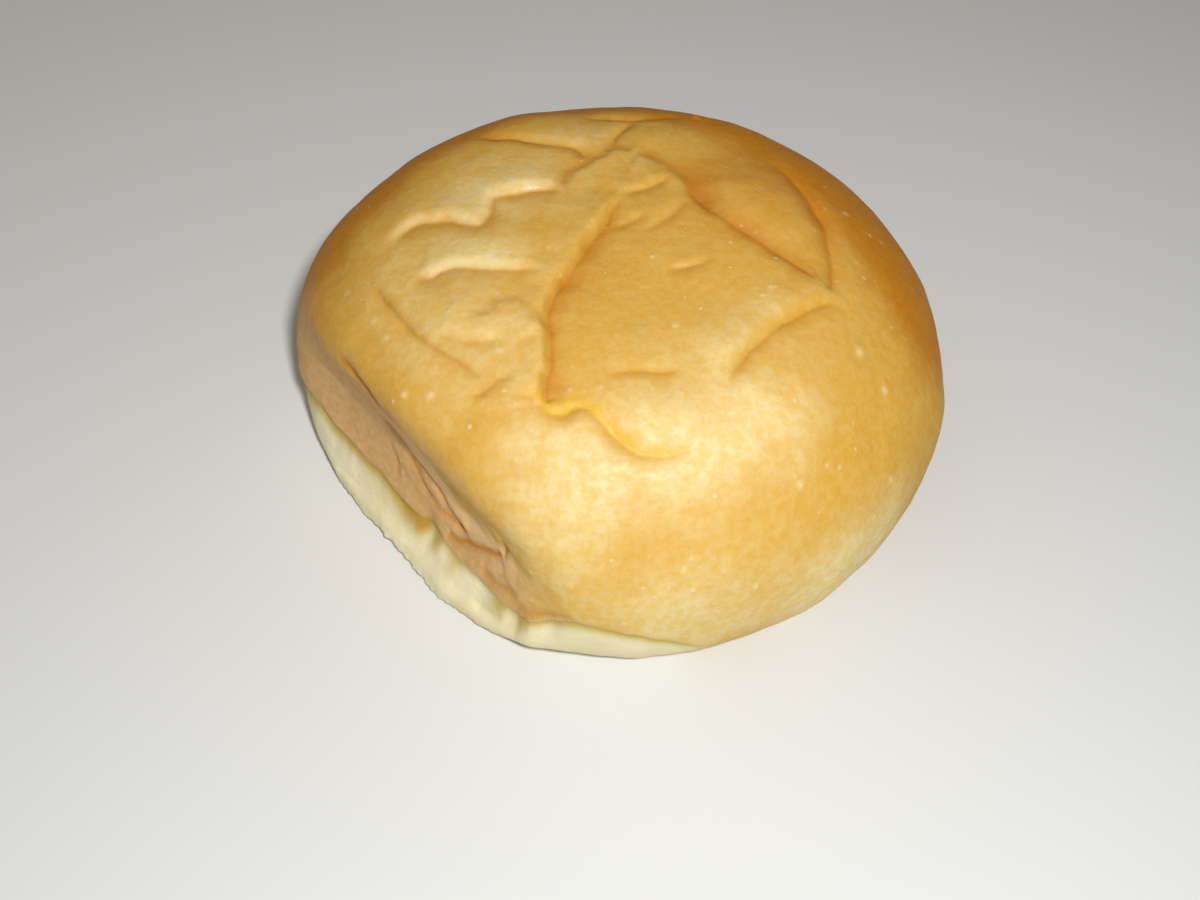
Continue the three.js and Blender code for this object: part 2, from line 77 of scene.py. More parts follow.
# Places on the skin are [x, y] in millimetres, as if it were peeled off and laid flat round the middle
# of the top, with the front of the bun at -y.
CREASES = {
    "left flap": Crease(
        path=[
            [-11.4, -32.7], [-11.7, -30.1], [-11.6, -27.6], [-11.1, -26.1], [-11.1, -23.5],
            [-11.3, -20.3], [-11.7, -16.2], [-11.4, -13.5], [-9.7, -8.6], [-7.9, -5.1], [-5.4, 0.5],
            [-3.5, 4.1], [-2.1, 8], [-0.8, 11.6],
        ],
        depth=0.75, spread=(1.3, 4.0), soft=0.15, step=0.75, ridge=(0.15, 0.0),
        fade=(0.8, 6.0), tone=1.0, shade=(0.35, 0.6), amber=0.3,
    ),
    "front hook": Crease(
        path=[
            [13.5, -37.8], [11.1, -38.7], [8.9, -39.9], [6.4, -40.5], [3.5, -40.3], [1.2, -39.3],
            [-0.9, -37.7], [-2.3, -36], [-4.1, -34], [-5.7, -33.1], [-7.2, -33.3], [-8.3, -34.2],
            [-10.3, -34.1], [-12, -32.7], [-14.3, -30.9], [-16.6, -28.9],
        ],
        depth=0.6, spread=(2.4, 3.2), soft=0.35, step=-0.05, ridge=(0.05, 0.0),
        fade=(8.0, 6.0), tone=0.3, shade=(0.8, 0.3), amber=1.0,
    ),
    "upper right panel": Crease(
        path=[
            [0.8, 21.9], [2.4, 21.4], [4.5, 20], [6.6, 18.3], [8.7, 15.7], [10.5, 12], [13.3, 8.2],
        ],
        depth=0.5, spread=(4.5, 2.2), step=-0.3, ridge=(0.0, 0.12),
        fade=(2.0, 5.0), tone=0.85, shade=(1.4, 0.35),
    ),
    "right panel": Crease(
        path=[
            [8.7, 15.7], [10.5, 12], [13.3, 8.2], [16.5, 5.3], [20.2, 2.6], [23.4, 0.3],
            [26.2, -1.3], [28.3, -2.8], [31.5, -4.6],
        ],
        depth=0.55, spread=(5.5, 3.2), soft=0.15, step=0.04, ridge=(0.05, 0.0),
        fade=(6.0, 4.0), tone=0.9, shade=(0.8, 0.4),
    ),
    "right rim": Crease(
        path=[
            [19.8, 26.2], [23, 24], [26, 20.6], [28.4, 16.7], [30.1, 12.7], [31.7, 9], [32.3, 4.8],
            [32.8, 1.7], [33, -2.9], [32.9, -6.6],
        ],
        depth=0.5, spread=(3.2, 3.6), soft=0.15, step=0.2, ridge=(0.06, 0.0),
        fade=(14.0, 2.0), tone=0.85, shade=(0.25, 0.6),
    ),
    "lower right rim": Crease(
        path=[
            [34.3, -7.1], [33.4, -8.1], [31.2, -9], [28.4, -10.9], [25.7, -13.4], [23.7, -15.3],
            [21.7, -18], [19.6, -20.5], [18, -23.3], [16.3, -26.5], [14.5, -30],
        ],
        depth=0.55, spread=(3.2, 3.0), soft=0.25, step=-0.35, ridge=(0.0, 0.2),
        fade=(4.0, 9.0), tone=0.65, shade=(0.5, 0.3), amber=0.3,
    ),
    "left rim": Crease(
        path=[
            [-19.8, -28.4], [-21.9, -27.3], [-24.5, -25], [-28, -22], [-31.3, -19], [-34.4, -14.5],
            [-37.1, -10.6], [-39.2, -6.8], [-40.7, -3.3],
        ],
        depth=0.4, spread=(3.0, 2.6), step=0.1, ridge=(0.0, 0.12),
        fade=(4.0, 7.0), tone=0.55, shade=(0.5, 0.25),
    ),
    "left pinch": Crease(
        path=[[-21.6, -32.4], [-21.8, -30.3], [-19.8, -29.1], [-18.1, -27.9], [-15.5, -27.8]],
        depth=0.28, spread=(2.0, 2.2), soft=0.35, step=0.1, ridge=(0.05, 0.0),
        fade=(3.0, 2.0), tone=0.4, shade=(0.5, 1.0),
    ),
    "left wrinkle": Crease(
        path=[
            [-36.2, 0.6], [-35.2, 3.4], [-33.5, 5.4], [-31.1, 5.8], [-27.6, 5.4], [-24.5, 4.2],
            [-22.3, 3.6], [-21.3, 5.3], [-20.9, 8.2], [-20.1, 10.2], [-17.3, 10.7], [-15.4, 11.5],
            [-12.3, 12], [-9.6, 11.2],
        ],
        depth=0.5, spread=(2.0, 4.2), soft=0.25, step=0.38, ridge=(0.2, 0.0),
        fade=(4.0, 3.0), tone=0.65, shade=(0.3, 0.9), glossy=True,
    ),
    "left low wrinkle": Crease(
        path=[
            [-32.5, -6.5], [-29.6, -7.3], [-28, -6.3], [-26, -5.6], [-23.9, -5.8], [-20.3, -6.4],
            [-16.6, -6.7], [-11.6, -6.8],
        ],
        depth=0.35, spread=(1.7, 3.4), step=0.3, ridge=(0.2, 0.0),
        fade=(2.0, 5.0), tone=0.5, shade=(0.3, 1.0), glossy=True,
    ),
    "left curl": Crease(
        path=[
            [-23.8, -16.7], [-20, -15.8], [-19.1, -14], [-17.7, -13.1], [-16, -13.2], [-14.7, -15],
            [-13.2, -17], [-11.7, -18.7],
        ],
        depth=0.14, spread=(3.0, 2.6), soft=0.6, step=-0.15, ridge=(0.06, 0.12),
        fade=(3.0, 1.0), tone=0.3, shade=(0.8, 0.8),
    ),
    "left dimple": Crease(
        path=[[-28.5, -18.7], [-24.9, -20.3], [-21.4, -21], [-17.4, -21]],
        depth=0.25, spread=(1.6, 2.4), soft=0.3, step=0.2, ridge=(0.12, 0.0),
        fade=(2.0, 3.0), tone=0.25, shade=(0.3, 0.8),
    ),
    "back left fold": Crease(
        path=[
            [-26.1, 29.3], [-23.1, 27.9], [-18.7, 26.2], [-14.4, 24.3], [-9.6, 23.2], [-7.9, 22.3],
            [-6.2, 19.9],
        ],
        depth=0.5, spread=(2.0, 2.6), soft=0.15, step=0.12, ridge=(0.1, 0.0),
        fade=(5.0, 1.5), tone=0.9, shade=(0.25, 0.8),
    ),
    "tongue edge": Crease(
        path=[
            [0.8, 21.8], [-1.7, 22.8], [-3.5, 21.6], [-6, 19], [-8.6, 16.8], [-9.3, 14.7],
            [-9.6, 11.9],
        ],
        depth=0.35, spread=(1.8, 2.4), step=0.3, ridge=(0.1, 0.0),
        fade=(1.5, 2.0), tone=0.7, shade=(0.4, 0.8),
    ),
    "back pleat": Crease(
        path=[[0.6, 32.7], [-1, 28.9], [-2.6, 26], [-3.8, 22.1]],
        depth=0.45, spread=(2.2, 1.8), step=-0.25, ridge=(0.02, 0.15),
        fade=(2.0, 1.5), tone=0.65, shade=(0.7, 0.3),
    ),
    "back rim": Crease(
        path=[[-9, 34], [-3.8, 33.2], [-1.1, 33.1], [0.9, 33], [4, 34.2], [7.4, 36], [9.6, 38.6]],
        depth=0.3, spread=(2.0, 2.4), step=0.1, ridge=(0.08, 0.0),
        fade=(4.0, 4.0), tone=0.55, shade=(0.4, 0.7),
    ),
    "peak wrinkle": Crease(
        path=[[-0.9, 10.7], [0.9, 12], [2.9, 12.6], [5, 14.6], [6.3, 16.3]],
        depth=0.3, spread=(1.4, 2.0), step=0.2, ridge=(0.18, 0.0),
        fade=(1.0, 2.5), tone=0.45, shade=(0.3, 0.9),
    ),
    "upper crow's foot": Crease(
        path=[[-1.9, 2.9], [0, 4.5], [2, 5.8], [3.5, 7.4]],
        depth=0.22, spread=(1.6, 1.8), step=0.15, ridge=(0.12, 0.0),
        fade=(1.5, 3.0), tone=0.4, shade=(0.3, 0.8),
    ),
    "lower crow's foot": Crease(
        path=[[2.5, 3], [4.6, 4.3], [7.1, 7.3], [9.4, 11.1]],
        depth=0.28, spread=(1.8, 2.0), step=0.2, ridge=(0.15, 0.0),
        fade=(1.5, 2.0), tone=0.45, shade=(0.3, 0.9),
    ),
    "middle dash": Crease(
        path=[[5.9, -5.5], [8.7, -4.9], [11.2, -3.7], [13.9, -1.7]],
        depth=0.18, spread=(1.2, 2.0), soft=0.15, step=0.05, ridge=(0.2, 0.0),
        fade=(2.5, 3.0), tone=0.45, shade=(0.25, 0.6),
    ),
    "front dash": Crease(
        path=[[-3.3, -27.5], [0, -26.8], [3, -26.5], [6.3, -26.5], [10, -25.4]],
        depth=0.25, spread=(2.0, 2.2), soft=0.25, step=0.05, ridge=(0.08, 0.0),
        fade=(4.0, 3.5), tone=0.5, shade=(0.5, 0.8), amber=0.3,
    ),
    "side fold": Crease(
        path=[
            [-46.8, -16.5], [-46.5, -19], [-45.4, -22.2], [-43.6, -26.2], [-43.2, -29.5],
            [-43.6, -33],
        ],
        depth=0.5, spread=(2.8, 2.2), soft=0.25, step=0.2,
        fade=(3.0, 4.0), tone=1.0, shade=(0.55, 0.7),
    ),
    "low side fold": Crease(
        path=[
            [-52.4, -31], [-50.7, -36.5], [-47.9, -42], [-45.8, -45.5], [-44.3, -48.5],
            [-43.2, -51.4], [-40.8, -54.8], [-39, -56.3],
        ],
        depth=0.5, spread=(2.2, 2.8), soft=0.25, step=-0.15,
        fade=(2.0, 3.0), tone=1.0, shade=(0.7, 0.5),
    ),
    "side pleat": Crease(
        path=[
            [-50, -38.4], [-49.4, -42.3], [-49, -44.9], [-48, -47.9], [-45.4, -50.8],
            [-42.3, -53.5], [-40.2, -55.2], [-38, -56.4],
        ],
        depth=0.3, spread=(1.6, 1.8), soft=0.25, step=0.3, ridge=(0.06, 0.0),
        fade=(3.0, 2.0), tone=0.8, shade=(0.4, 0.6),
    ),
    "faint pleat": Crease(
        path=[[-54.2, -34.8], [-55.2, -37.2], [-55.6, -39.1], [-56.8, -40.8], [-58.1, -42.7]],
        depth=0.25, spread=(1.5, 1.8), step=0.2, ridge=(0.05, 0.0),
        fade=(2.0, 3.0), tone=0.4, shade=(0.4, 0.6),
    ),
    "fainter pleat": Crease(
        path=[[-54.3, -39.6], [-54.4, -41.9], [-53.6, -44.3]],
        depth=0.18, spread=(1.2, 1.4), step=0.15,
        fade=(1.5, 2.0), tone=0.3, shade=(0.4, 0.4),
    ),
    "side tuck": Crease(
        path=[
            [-45.7, -54.8], [-44.4, -56.4], [-41.6, -57.1], [-38.4, -57.9], [-34.6, -58.5],
            [-31.4, -58.9], [-27.1, -58.4],
        ],
        depth=0.4, spread=(1.6, 1.6), soft=0.25, step=0.35, ridge=(0.06, 0.0),
        fade=(1.0, 1.5), tone=0.95, shade=(0.4, 0.8),
    ),
    "side upright": Crease(
        path=[[-22.6, -55], [-25.4, -57.5], [-26.6, -58.9], [-27.1, -60.2]],
        depth=0.4, spread=(1.4, 1.4), soft=0.25, step=-0.25, ridge=(0.0, 0.05),
        fade=(1.5, 2.5), tone=0.9, shade=(0.7, 0.4),
    ),
    "side crinkle": Crease(
        path=[
            [-35.9, -61.3], [-34.8, -62.6], [-32.7, -63.9], [-29.7, -64.8], [-26.2, -65.1],
            [-22.5, -65.6],
        ],
        depth=0.28, spread=(1.5, 1.4), soft=0.25, step=0.25, ridge=(0.05, 0.0),
        fade=(2.0, 4.0), tone=0.7, shade=(0.3, 0.6),
    ),
    "low crinkle": Crease(
        path=[
            [-24.9, -67.5], [-22.5, -68], [-19.7, -68.1], [-16.7, -68.1], [-10.8, -67.1],
            [-5, -67.9],
        ],
        depth=0.2, spread=(1.1, 1.1), step=0.15,
        fade=(2.0, 6.0), tone=0.4, shade=(0.3, 0.4),
    ),
    "bread groove": Crease(
        path=[[-39.9, -68.3], [-36.9, -70.3], [-32.1, -71.6], [-28, -71.1]],
        depth=0.45, spread=(2.4, 2.2), soft=0.5, step=0.1,
        fade=(4.0, 3.0),
    ),
    "bread crack": Crease(
        path=[[-76.6, -25.6], [-74.4, -29.8], [-72.7, -33.8], [-70.3, -38.2]],
        depth=0.15, spread=(0.7, 1.0), soft=0.1, step=0.12,
        fade=(2.0, 5.0), tone=0.15, shade=(0.3, 0.3),
    ),
    "skin edge": Crease(
        path=[
            [-73.5, 32], [-75.2, 25], [-75.6, 19], [-74.8, 14], [-73.8, 4], [-73.2, -5.9],
            [-72.5, -10.3], [-71.6, -15], [-71.5, -19.7], [-70.3, -23.8], [-68.2, -29.2],
            [-65.7, -34.7], [-62.6, -39.8], [-60.6, -43.9], [-58.5, -47.1], [-55, -50.4],
            [-51.9, -52.9], [-49.9, -54.4], [-48.4, -56.5], [-46.3, -59.1], [-43.1, -61.5],
            [-39.3, -63.5], [-35.3, -66.1], [-31.4, -67.6], [-26.1, -69.7], [-21.7, -70.4],
            [-18.9, -70.7], [-12.4, -69.4], [-7.9, -68.7], [-4.2, -68.9], [-0.9, -70], [2.6, -70.9],
            [6.1, -71.6], [13.9, -73.2], [21.4, -74.6], [28, -74.5],
        ],
        depth=0.15, spread=(0.6, 3.6), step=0.35, fade=(14.0, 14.0),
    ),
}
# How sharp a step is at its line and how far from it the step has died away, in mm
STEP_SHARPNESS = 0.45
STEP_REACH = 6.5
STEP_MARGIN = 3 * STEP_REACH
# A ridge is highest at this share of the valley's spread
RIDGE_WIDTH = 0.9
# The painted shade of a crease lies at the foot of the step, this far from the path, and varies less than
# the relief
PAINTED_SHADE_FROM_LINE = 0.45
PAINTED_SHADE_EVENNESS = 0.6
# The amber bottom, and the smoother raised side with its painted highlight: how far from the path, and
# over what width
AMBER_FROM_LINE = 0.4
AMBER_WIDTH = 1.1
GLOSS_FROM_LINE = 0.7
GLOSS_WIDTH = 0.8
# Crests are painted paler, a painted sheen, and valleys browner, a painted shade: relief in mm that counts
# as one crest, for the creases and for the unevenness between them, and by how much
CREST_HEIGHT = 0.4
UNEVEN_HEIGHT = 0.4
CREST_SHEEN_VALLEY_SHADE = 0.16
# The skin is browner from these ways outwards, partly by its own browning and partly as painted shade
# where the shoulder turns from the light, and paler again from the lower ones, in mm from the middle of the
# top, by these amounts. The front stays as it is: a place's direction from the axis has a sine of -1 at
# the front and of 1 at the back
RIM_MIDDLE = (-3, -11)
RIM_WAYS = (36, 55)
RIM_BROWNING_AND_SHADE = 0.9
LOW_WAYS = (50, 74)
LOW_PALENESS = 1.15
BACK_FROM = (-0.5, 0.5)
# Over these ways from that middle it turns matt
MATT_WAYS = (34, 52)
# Unevenness of the creases: their strength varies along them, and their lines waver, by how much and
# over what length in mm, and where in the noise
VARIES_BY = 0.6
VARIES_OVER = 4.5
VARIES_STEPS = 60
VARIES_APART = 7.3
WAVERS_BY = 0.22
WAVERS_OVER = 2.6
WAVER_SLICES = (21.0, 34.0)
# Steps of a path between two of its corners
PATH_STEPS = 6
# The mesh is drawn together at the lines of the creases: by how much, how near and how far out, and
# how soon after the ends of a line
GATHER_SHARE = 0.62
GATHER_WIDTH = 0.8
GATHER_REACH = (1.2, 5.5)
GATHER_ENDS = 3
# Unevenness between the creases: height and length of its waves in mm, and a slice of the noise
UNDULATIONS = [(0.30, 13, 3.0), (0.10, 4.5, 8.0), (0.035, 1.7, 15.0)]

# Swellings and hollows between the creases: middle, radius and height in mm
SWELLINGS = [
    ((21, 12), 8, 1.3),
    ((-24, -15), 7, 0.8),
    ((-17, 0), 6, 0.8),
    ((5, -14), 13, -0.5),
    ((-16, 33), 8, 0.9),
    ((-8, -46), 12, 0.8),
    ((27, -27), 11, 0.7),
    ((-21, -38), 6, 0.5),
    ((-33, -30), 6, 0.5),
    ((3, 27), 5, 0.6),
    ((-53, -53.5), 3.2, -0.9),
    ((-46, -61), 3.5, -0.5),
    ((-36, -68), 3.5, -0.4),
    ((-25, -72.5), 3.0, -0.7),
    ((-14, -72), 3.5, -0.6),
    ((-1, -37.5), 3.5, -0.3),
    ((-8.0, -30.5), 3.0, -0.4),
    ((8, -34), 5.0, 0.7),
    ((-20, -77), 6.0, 0.9),
    ((-48, -64), 5.0, 0.8),
    ((-10, 40), 9.0, -0.8),
    ((66, -14), 10.0, 0.8),
    ((-60, -2), 6.0, -0.5),
    ((-57, 14), 8.0, 0.6),
    ((11.6, 37.2), 0.6, 0.7),
    ((13.3, 37.6), 0.4, 0.5),
]

# Places where the skin is browner, or paler where negative, partly by its own browning and partly as
# painted shade and painted highlight: middle, radius in mm and amount
BROWNING_AND_LIGHT_PATCHES = [
    ((6, -58), 24, -0.35),
    ((-27, -18), 12, -0.36),
    ((-26, -40), 12, -0.12),
    ((23, 13), 14, 0.25),
    ((4, -12), 16, 0.12),
    ((6, 50), 18, 0.15),
    ((54, 6), 18, 0.25),
    ((40, -32), 14, 0.12),
    ((-48, 16), 17, 0.3),
    ((-50, -10), 9, 0.2),
    ((-41, -31), 7, 0.45),
    ((-36, -43), 7, 0.25),
    ((-20, 14), 13, -0.2),
    ((46, -60), 17, -0.7),
    ((29, 20), 13, 0.15),
    ((51, 0), 12, 0.25),
    ((-38, -5), 13, -0.2),
    ((6, -33), 13, -0.25),
    ((12, -40), 10, -0.28),
    ((-16, -52), 12, -0.15),
    ((24, -29), 12, -0.42),
    ((18, -60), 10, -0.2),
    ((38, -12), 8, -0.2),
    ((-9, 26), 8, -0.25),
    ((-9.0, -30.2), 2.4, 0.4),
    ((-33, -4), 7, -0.1),
    ((10, -67), 8, -0.3),
    ((28, -66), 8, -0.15),
    ((12, 17), 4, 0.15),
    ((-10, -44), 10, -0.35),
    ((-22, 5), 10, -0.3),
    ((-20, -51), 6, -0.1),
    ((-21.5, -36), 3, 0.4),
    ((58, -40), 11, -0.6),
    ((50, -50), 10, -0.3),
    ((22, -74), 9, -0.35),
    ((-24, -47), 8, 0.2),
    ((-34, -52), 6, -0.25),
    ((14, -54), 9, 0.15),
    ((20, -46), 7, 0.08),
    ((20, -12), 8, -0.25),
    ((2, 26), 6, -0.15),
    ((-12, 15), 7, -0.2),
    ((-30, 16), 7, -0.1),
    ((30, 30), 8, -0.25),
    ((-4, 40), 9, -0.2),
    ((-20, -4), 3.5, -0.4),
    ((-25, -4), 3, -0.25),
    ((18, -23), 8, -0.08),
    ((-20, 9), 5, -0.1),
    ((-18, -10), 5, -0.1),
]

# Amber places of the bare bread under the edge of the skin, partly its own tint and partly painted shade
# under the skin's lip: middle, radius in mm and amount
POCKETS = [
    ((-55.8, -51.8), 1.6, 0.45),
    ((-51.5, -56.0), 2.6, 0.45),
    ((-46.5, -61.5), 2.6, 0.3),
    ((-30.5, -69.6), 2.6, 0.4),
    ((-22.5, -72.0), 2.4, 0.45),
]
# At ways along that edge in mm: how amber the bread is right under it, partly its tint and partly painted
# shade under the skin's lip, over what depth in mm that fades out, and how pale the edge itself is
AMBER_WAYS = [0, 18, 32, 44, 76, 84, 89, 92, 102, 118, 130, 140, 178]
AMBER_AMOUNTS = [0.5, 1.0, 0.9, 0.75, 0.8, 1.1, 1.1, 0.5, 0.4, 0.35, 0.6, 0.8, 0.6]
AMBER_FADES = [1.5, 2.2, 2.2, 1.8, 1.8, 2.6, 2.6, 1.2, 1.2, 1.0, 1.3, 1.8, 1.2]
PALE_EDGE_WAYS = [0, 78, 92, 102, 148, 183]
PALE_EDGE_AMOUNTS = [0.1, 0.15, 0.4, 0.7, 0.6, 0.3]
# How suddenly the amber fades out
AMBER_FALL = 1.5
# How far the bare bread fades out at the two ends of the edge, and from what depth below it the bread
# and its amber places begin, in mm
BARE_ENDS = (10, 12)
BARE_FROM = (-0.1, 0.25)
AMBER_FROM = (-0.1, 0.2)
# The pale lip of the skin: how far above its edge, and how wide
LIP_ABOVE = 0.25
LIP_WIDTH = 0.22

# Upper border of the dull tan skin of the pressed side
TAN_BORDER = [
    [-47.5, -4], [-47, -10], [-46.8, -16.5], [-46.5, -19], [-45.4, -22.2], [-43.4, -26.2],
    [-42.7, -30.1], [-42.5, -34], [-42.8, -38], [-42.7, -41.7], [-41.6, -44.9], [-40.5, -48.5],
    [-38, -52], [-32, -55], [-26, -58], [-18, -61], [-6, -65],
]
# At ways along that border in mm, how far over it the tan reaches, and over what width it ends there.
# Then from what height above the edge of the skin it begins, and over what depth under the border the
# skin turns matt
TAN_OVER_WAYS = [0, 15, 24, 30, 38, 45, 50]
TAN_OVER = [0.9, -0.2, -0.2, 1.0, 2.8, 2.8, 1.2]
TAN_EDGE = 0.9
TAN_ABOVE_EDGE = (-0.2, 0.4)
MATT_OVER_TAN = (-9, -1)
# The pressed side lies along the edge of the skin: how far up from it, over what it fades there, and
# over what ways it begins and ends
PRESSED_UP = 14
PRESSED_FADE = 6
PRESSED_START = (22, 40)
PRESSED_END = (36, 66)
# The tan is painted lighter along its border, a painted light where the side turns from the lamps: how
# wide, and over what way along it this begins
BORDER_LIGHT_WIDTH = 5.0
BORDER_LIGHT_WAYS = (22, 32)

# Blisters that stand up on the skin: middle, radius and height in mm
BLISTERS = [
    ((-33.2, -28.2), 0.55, 0.20),
    ((-28.9, -29.3), 0.6, 0.22),
    ((-38.5, -13.8), 0.45, 0.12),
    ((-36.3, -17.6), 0.5, 0.12),
    ((-18.4, -23.1), 0.4, 0.10),
    ((37.5, -16.5), 0.7, 0.08),
    ((43.0, -21.0), 0.6, 0.08),
    ((29.5, -41.0), 0.5, 0.10),
    ((26.5, -58.5), 0.6, 0.12),
    ((12.0, -57.0), 0.5, 0.08),
    ((22.5, -8.0), 0.45, 0.10),
    ((8.0, -17.5), 0.4, 0.08),
    ((-44.0, -6.0), 0.5, 0.10),
    ((36.0, 14.0), 0.5, 0.10),
    ((49.0, -34.0), 0.6, 0.10),
]


def mm(metres):
    """A Blender length as millimetres."""
    return metres / MM


def length_setting(name, description, default, low, high):
    """A setting that is a length."""
    return FloatProperty(
        name=name, description=description, default=default, min=low, max=high, unit="LENGTH",
    )


def number_setting(name, description, default, low=-0.1, high=0.1):
    """A setting that is a plain number."""
    return FloatProperty(name=name, description=description, default=default, min=low, max=high)


def colour_setting(name, description, default):
    """A setting that is a colour."""
    return FloatVectorProperty(
        name=name, description=description, default=default, size=3, min=0, max=1, subtype="COLOR",
    )


class BodyProperties(bpy.types.PropertyGroup):
    """Sizes of the smooth body under the wrinkles."""

    dome_height: length_setting(
        "Dome height", "Height of the full dome, before its top sinks", 0.047, 0.02, 0.1,
    )
    widest_radius: length_setting("Widest radius", "Mean radius where the bun is widest", 0.0535, 0.02, 0.1)
    widest_height: length_setting("Widest height", "Height at which the bun is widest", 0.0145, 0.005, 0.04)
    base_radius: length_setting("Base radius", "Mean radius of the edge of the base", 0.0497, 0.02, 0.1)
    squareness: number_setting(
        "Squareness", "2 is an elliptic dome, more gives it a squarer shoulder", 2.15, 1.5, 4.0,
    )
    tuck_power: number_setting("Tuck", "How late the side curves in towards the base", 2.6, 1.0, 5.0)
    to_the_left: number_setting("Fuller on the left", "Share by which the plan is wider on the left", 0.012)
    to_the_back: number_setting("Fuller at the back", "Share by which the plan is longer at the back", 0.037)
    wider: number_setting("Wider than deep", "Share by which the plan is wider than it is deep", 0.010)
    sink_depth: length_setting("Sink depth", "How far the middle of the top has sunk", 0.0032, 0.0, 0.02)
    sink_flat: length_setting("Sunken flat", "Radius of the evenly sunken middle", 0.006, 0.0, 0.04)
    sink_edge: length_setting(
        "Sink edge", "Radius at which the sinking ends, along the skin", 0.043, 0.01, 0.08,
    )
    press_azimuth: FloatProperty(
        name="Pressed side", description="Direction that the pressed side faces, from +X",
        default=math.radians(-138), subtype="ANGLE",
    )
    press_distance: length_setting("Press distance", "From the axis to the pressed side", 0.041, 0.02, 0.06)
    press_softness: length_setting(
        "Press softness", "How gradually the round side turns into the pressed one", 0.005, 0.0005, 0.02,
    )
    skin_rings: IntProperty(
        name="Skin rings", description="Rings of faces from the middle of the top to the base",
        default=174, min=20, max=176,
    )


# How far the pressed side stands out past the press distance: heights and distances in mm
PRESSED_HEIGHTS = [0, 2.5, 5, 8, 12, 16, 20, 25, 30, 36]
PRESSED_STANDOUT = [4.4, 3.7, 2.4, 1.2, 0.1, -0.6, -0.9, -0.2, 1.6, 3.2]

# Waves of the edge of the base: how many, size in mm and turn in radians, and how high up they reach
EDGE_WAVES = [(5, 0.35, 0.6), (9, 0.3, 2.1), (17, 0.2, 4.0)]
EDGE_WAVE_REACH = 9.0
# The edge of the base stands off the floor here and there, and is slightly torn: by how much and how
# high up that reaches in mm, how many such places there are round it, and a slice of the noise
EDGE_LIFT = 0.9
LIFT_REACH = 5.0
LIFT_NOISE = (6, 2.0)
EDGE_TEAR = 0.35
TEAR_REACH = 1.2
TEAR_NOISE = (45, 7.0)
# Steps of each half of the side's profile, distance in mm over which its slope is measured, and sectors
# of the skin's mesh
PROFILE_STEPS = 240
NORMAL_STEP = 0.05
SECTORS = 6


class Body:
    """The smooth body, in millimetres: a point of its surface over each point of the laid-out skin."""

    def __init__(self, sizes):
        self.sizes = sizes
        turn = np.linspace(math.pi / 2, 0, PROFILE_STEPS + 1)
        power = 2 / sizes.squareness
        widest, height = mm(sizes.widest_radius), mm(sizes.widest_height)
        radius = widest * np.maximum(np.cos(turn), 0) ** power
        level = height + (mm(sizes.dome_height) - height) * np.sin(turn) ** power
        down = np.linspace(0, 1, PROFILE_STEPS + 1)[1:]
        tucked = widest - (widest - mm(sizes.base_radius)) * down ** sizes.tuck_power
        self.radius = np.append(radius, tucked)
        self.level = np.append(level, height * (1 - down))
        pieces = np.hypot(np.diff(self.radius), np.diff(self.level))
        self.way = np.append(0, np.cumsum(pieces))
        self.length = self.way[-1]

    def points(self, x, y):
        """The body's surface over places on the skin."""
        sizes = self.sizes
        way = np.minimum(np.hypot(x, y), self.length)
        azimuth = np.arctan2(y, x)
        radius = np.interp(way, self.way, self.radius)
        level = np.interp(way, self.way, self.level)
        radius = radius * (
            1
            - sizes.to_the_left * np.cos(azimuth)
            + sizes.to_the_back * np.sin(azimuth)
            + sizes.wider * np.cos(2 * azimuth)
        )
        low = np.maximum(0, 1 - level / EDGE_WAVE_REACH)
        for count, size, turn in EDGE_WAVES:
            radius = radius + low * size * np.sin(count * azimuth + turn)
        sunken = 1 - smoothstep(way, mm(sizes.sink_flat), mm(sizes.sink_edge))
        level = level - mm(sizes.sink_depth) * sunken
        place = np.stack([radius * np.cos(azimuth), radius * np.sin(azimuth), level], -1)
        press = np.array([math.cos(sizes.press_azimuth), math.sin(sizes.press_azimuth), 0])
        out = place @ press
        limit = mm(sizes.press_distance) + np.interp(level, PRESSED_HEIGHTS, PRESSED_STANDOUT)
        held = soft_minimum(out, limit, mm(sizes.press_softness))
        return place + (held - out)[..., None] * press

    def normals(self, x, y):
        """Directions straight out of the surface over places on the skin."""
        along_x = self.points(x + NORMAL_STEP, y) - self.points(x - NORMAL_STEP, y)
        along_y = self.points(x, y + NORMAL_STEP) - self.points(x, y - NORMAL_STEP)
        normal = np.cross(along_x, along_y)
        return normal / np.maximum(np.linalg.norm(normal, axis=-1, keepdims=True), 1e-9)


def smoothstep(value, low, high):
    share = np.clip((value - low) / (high - low), 0, 1)
    return share * share * (3 - 2 * share)


def spots(x, y, places):
    """The sum of round soft spots: middle, radius and height."""
    total = np.zeros(x.shape)
    for (middle_x, middle_y), radius, height in places:
        total += height * np.exp(-((x - middle_x) ** 2 + (y - middle_y) ** 2) / radius ** 2)
    return total


def soft_minimum(a, b, softness):
    share = np.clip(0.5 + 0.5 * (b - a) / softness, 0, 1)
    return b * (1 - share) + a * share - softness * share * (1 - share)


def smooth_path(corners):
    """A Catmull-Rom curve through the corners."""
    corners = np.array(corners, float)
    padded = np.vstack([2 * corners[0] - corners[1], corners, 2 * corners[-1] - corners[-2]])
    points = [corners[0]]
    for i in range(len(corners) - 1):
        a, b, c, d = padded[i:i + 4]
        for step in range(1, PATH_STEPS + 1):
            t = step / PATH_STEPS
            curve = 2 * b + (c - a) * t
            curve = curve + (2 * a - 5 * b + 4 * c - d) * t ** 2 + (3 * b - a - 3 * c + d) * t ** 3
            points.append(0.5 * curve)
    return np.array(points)


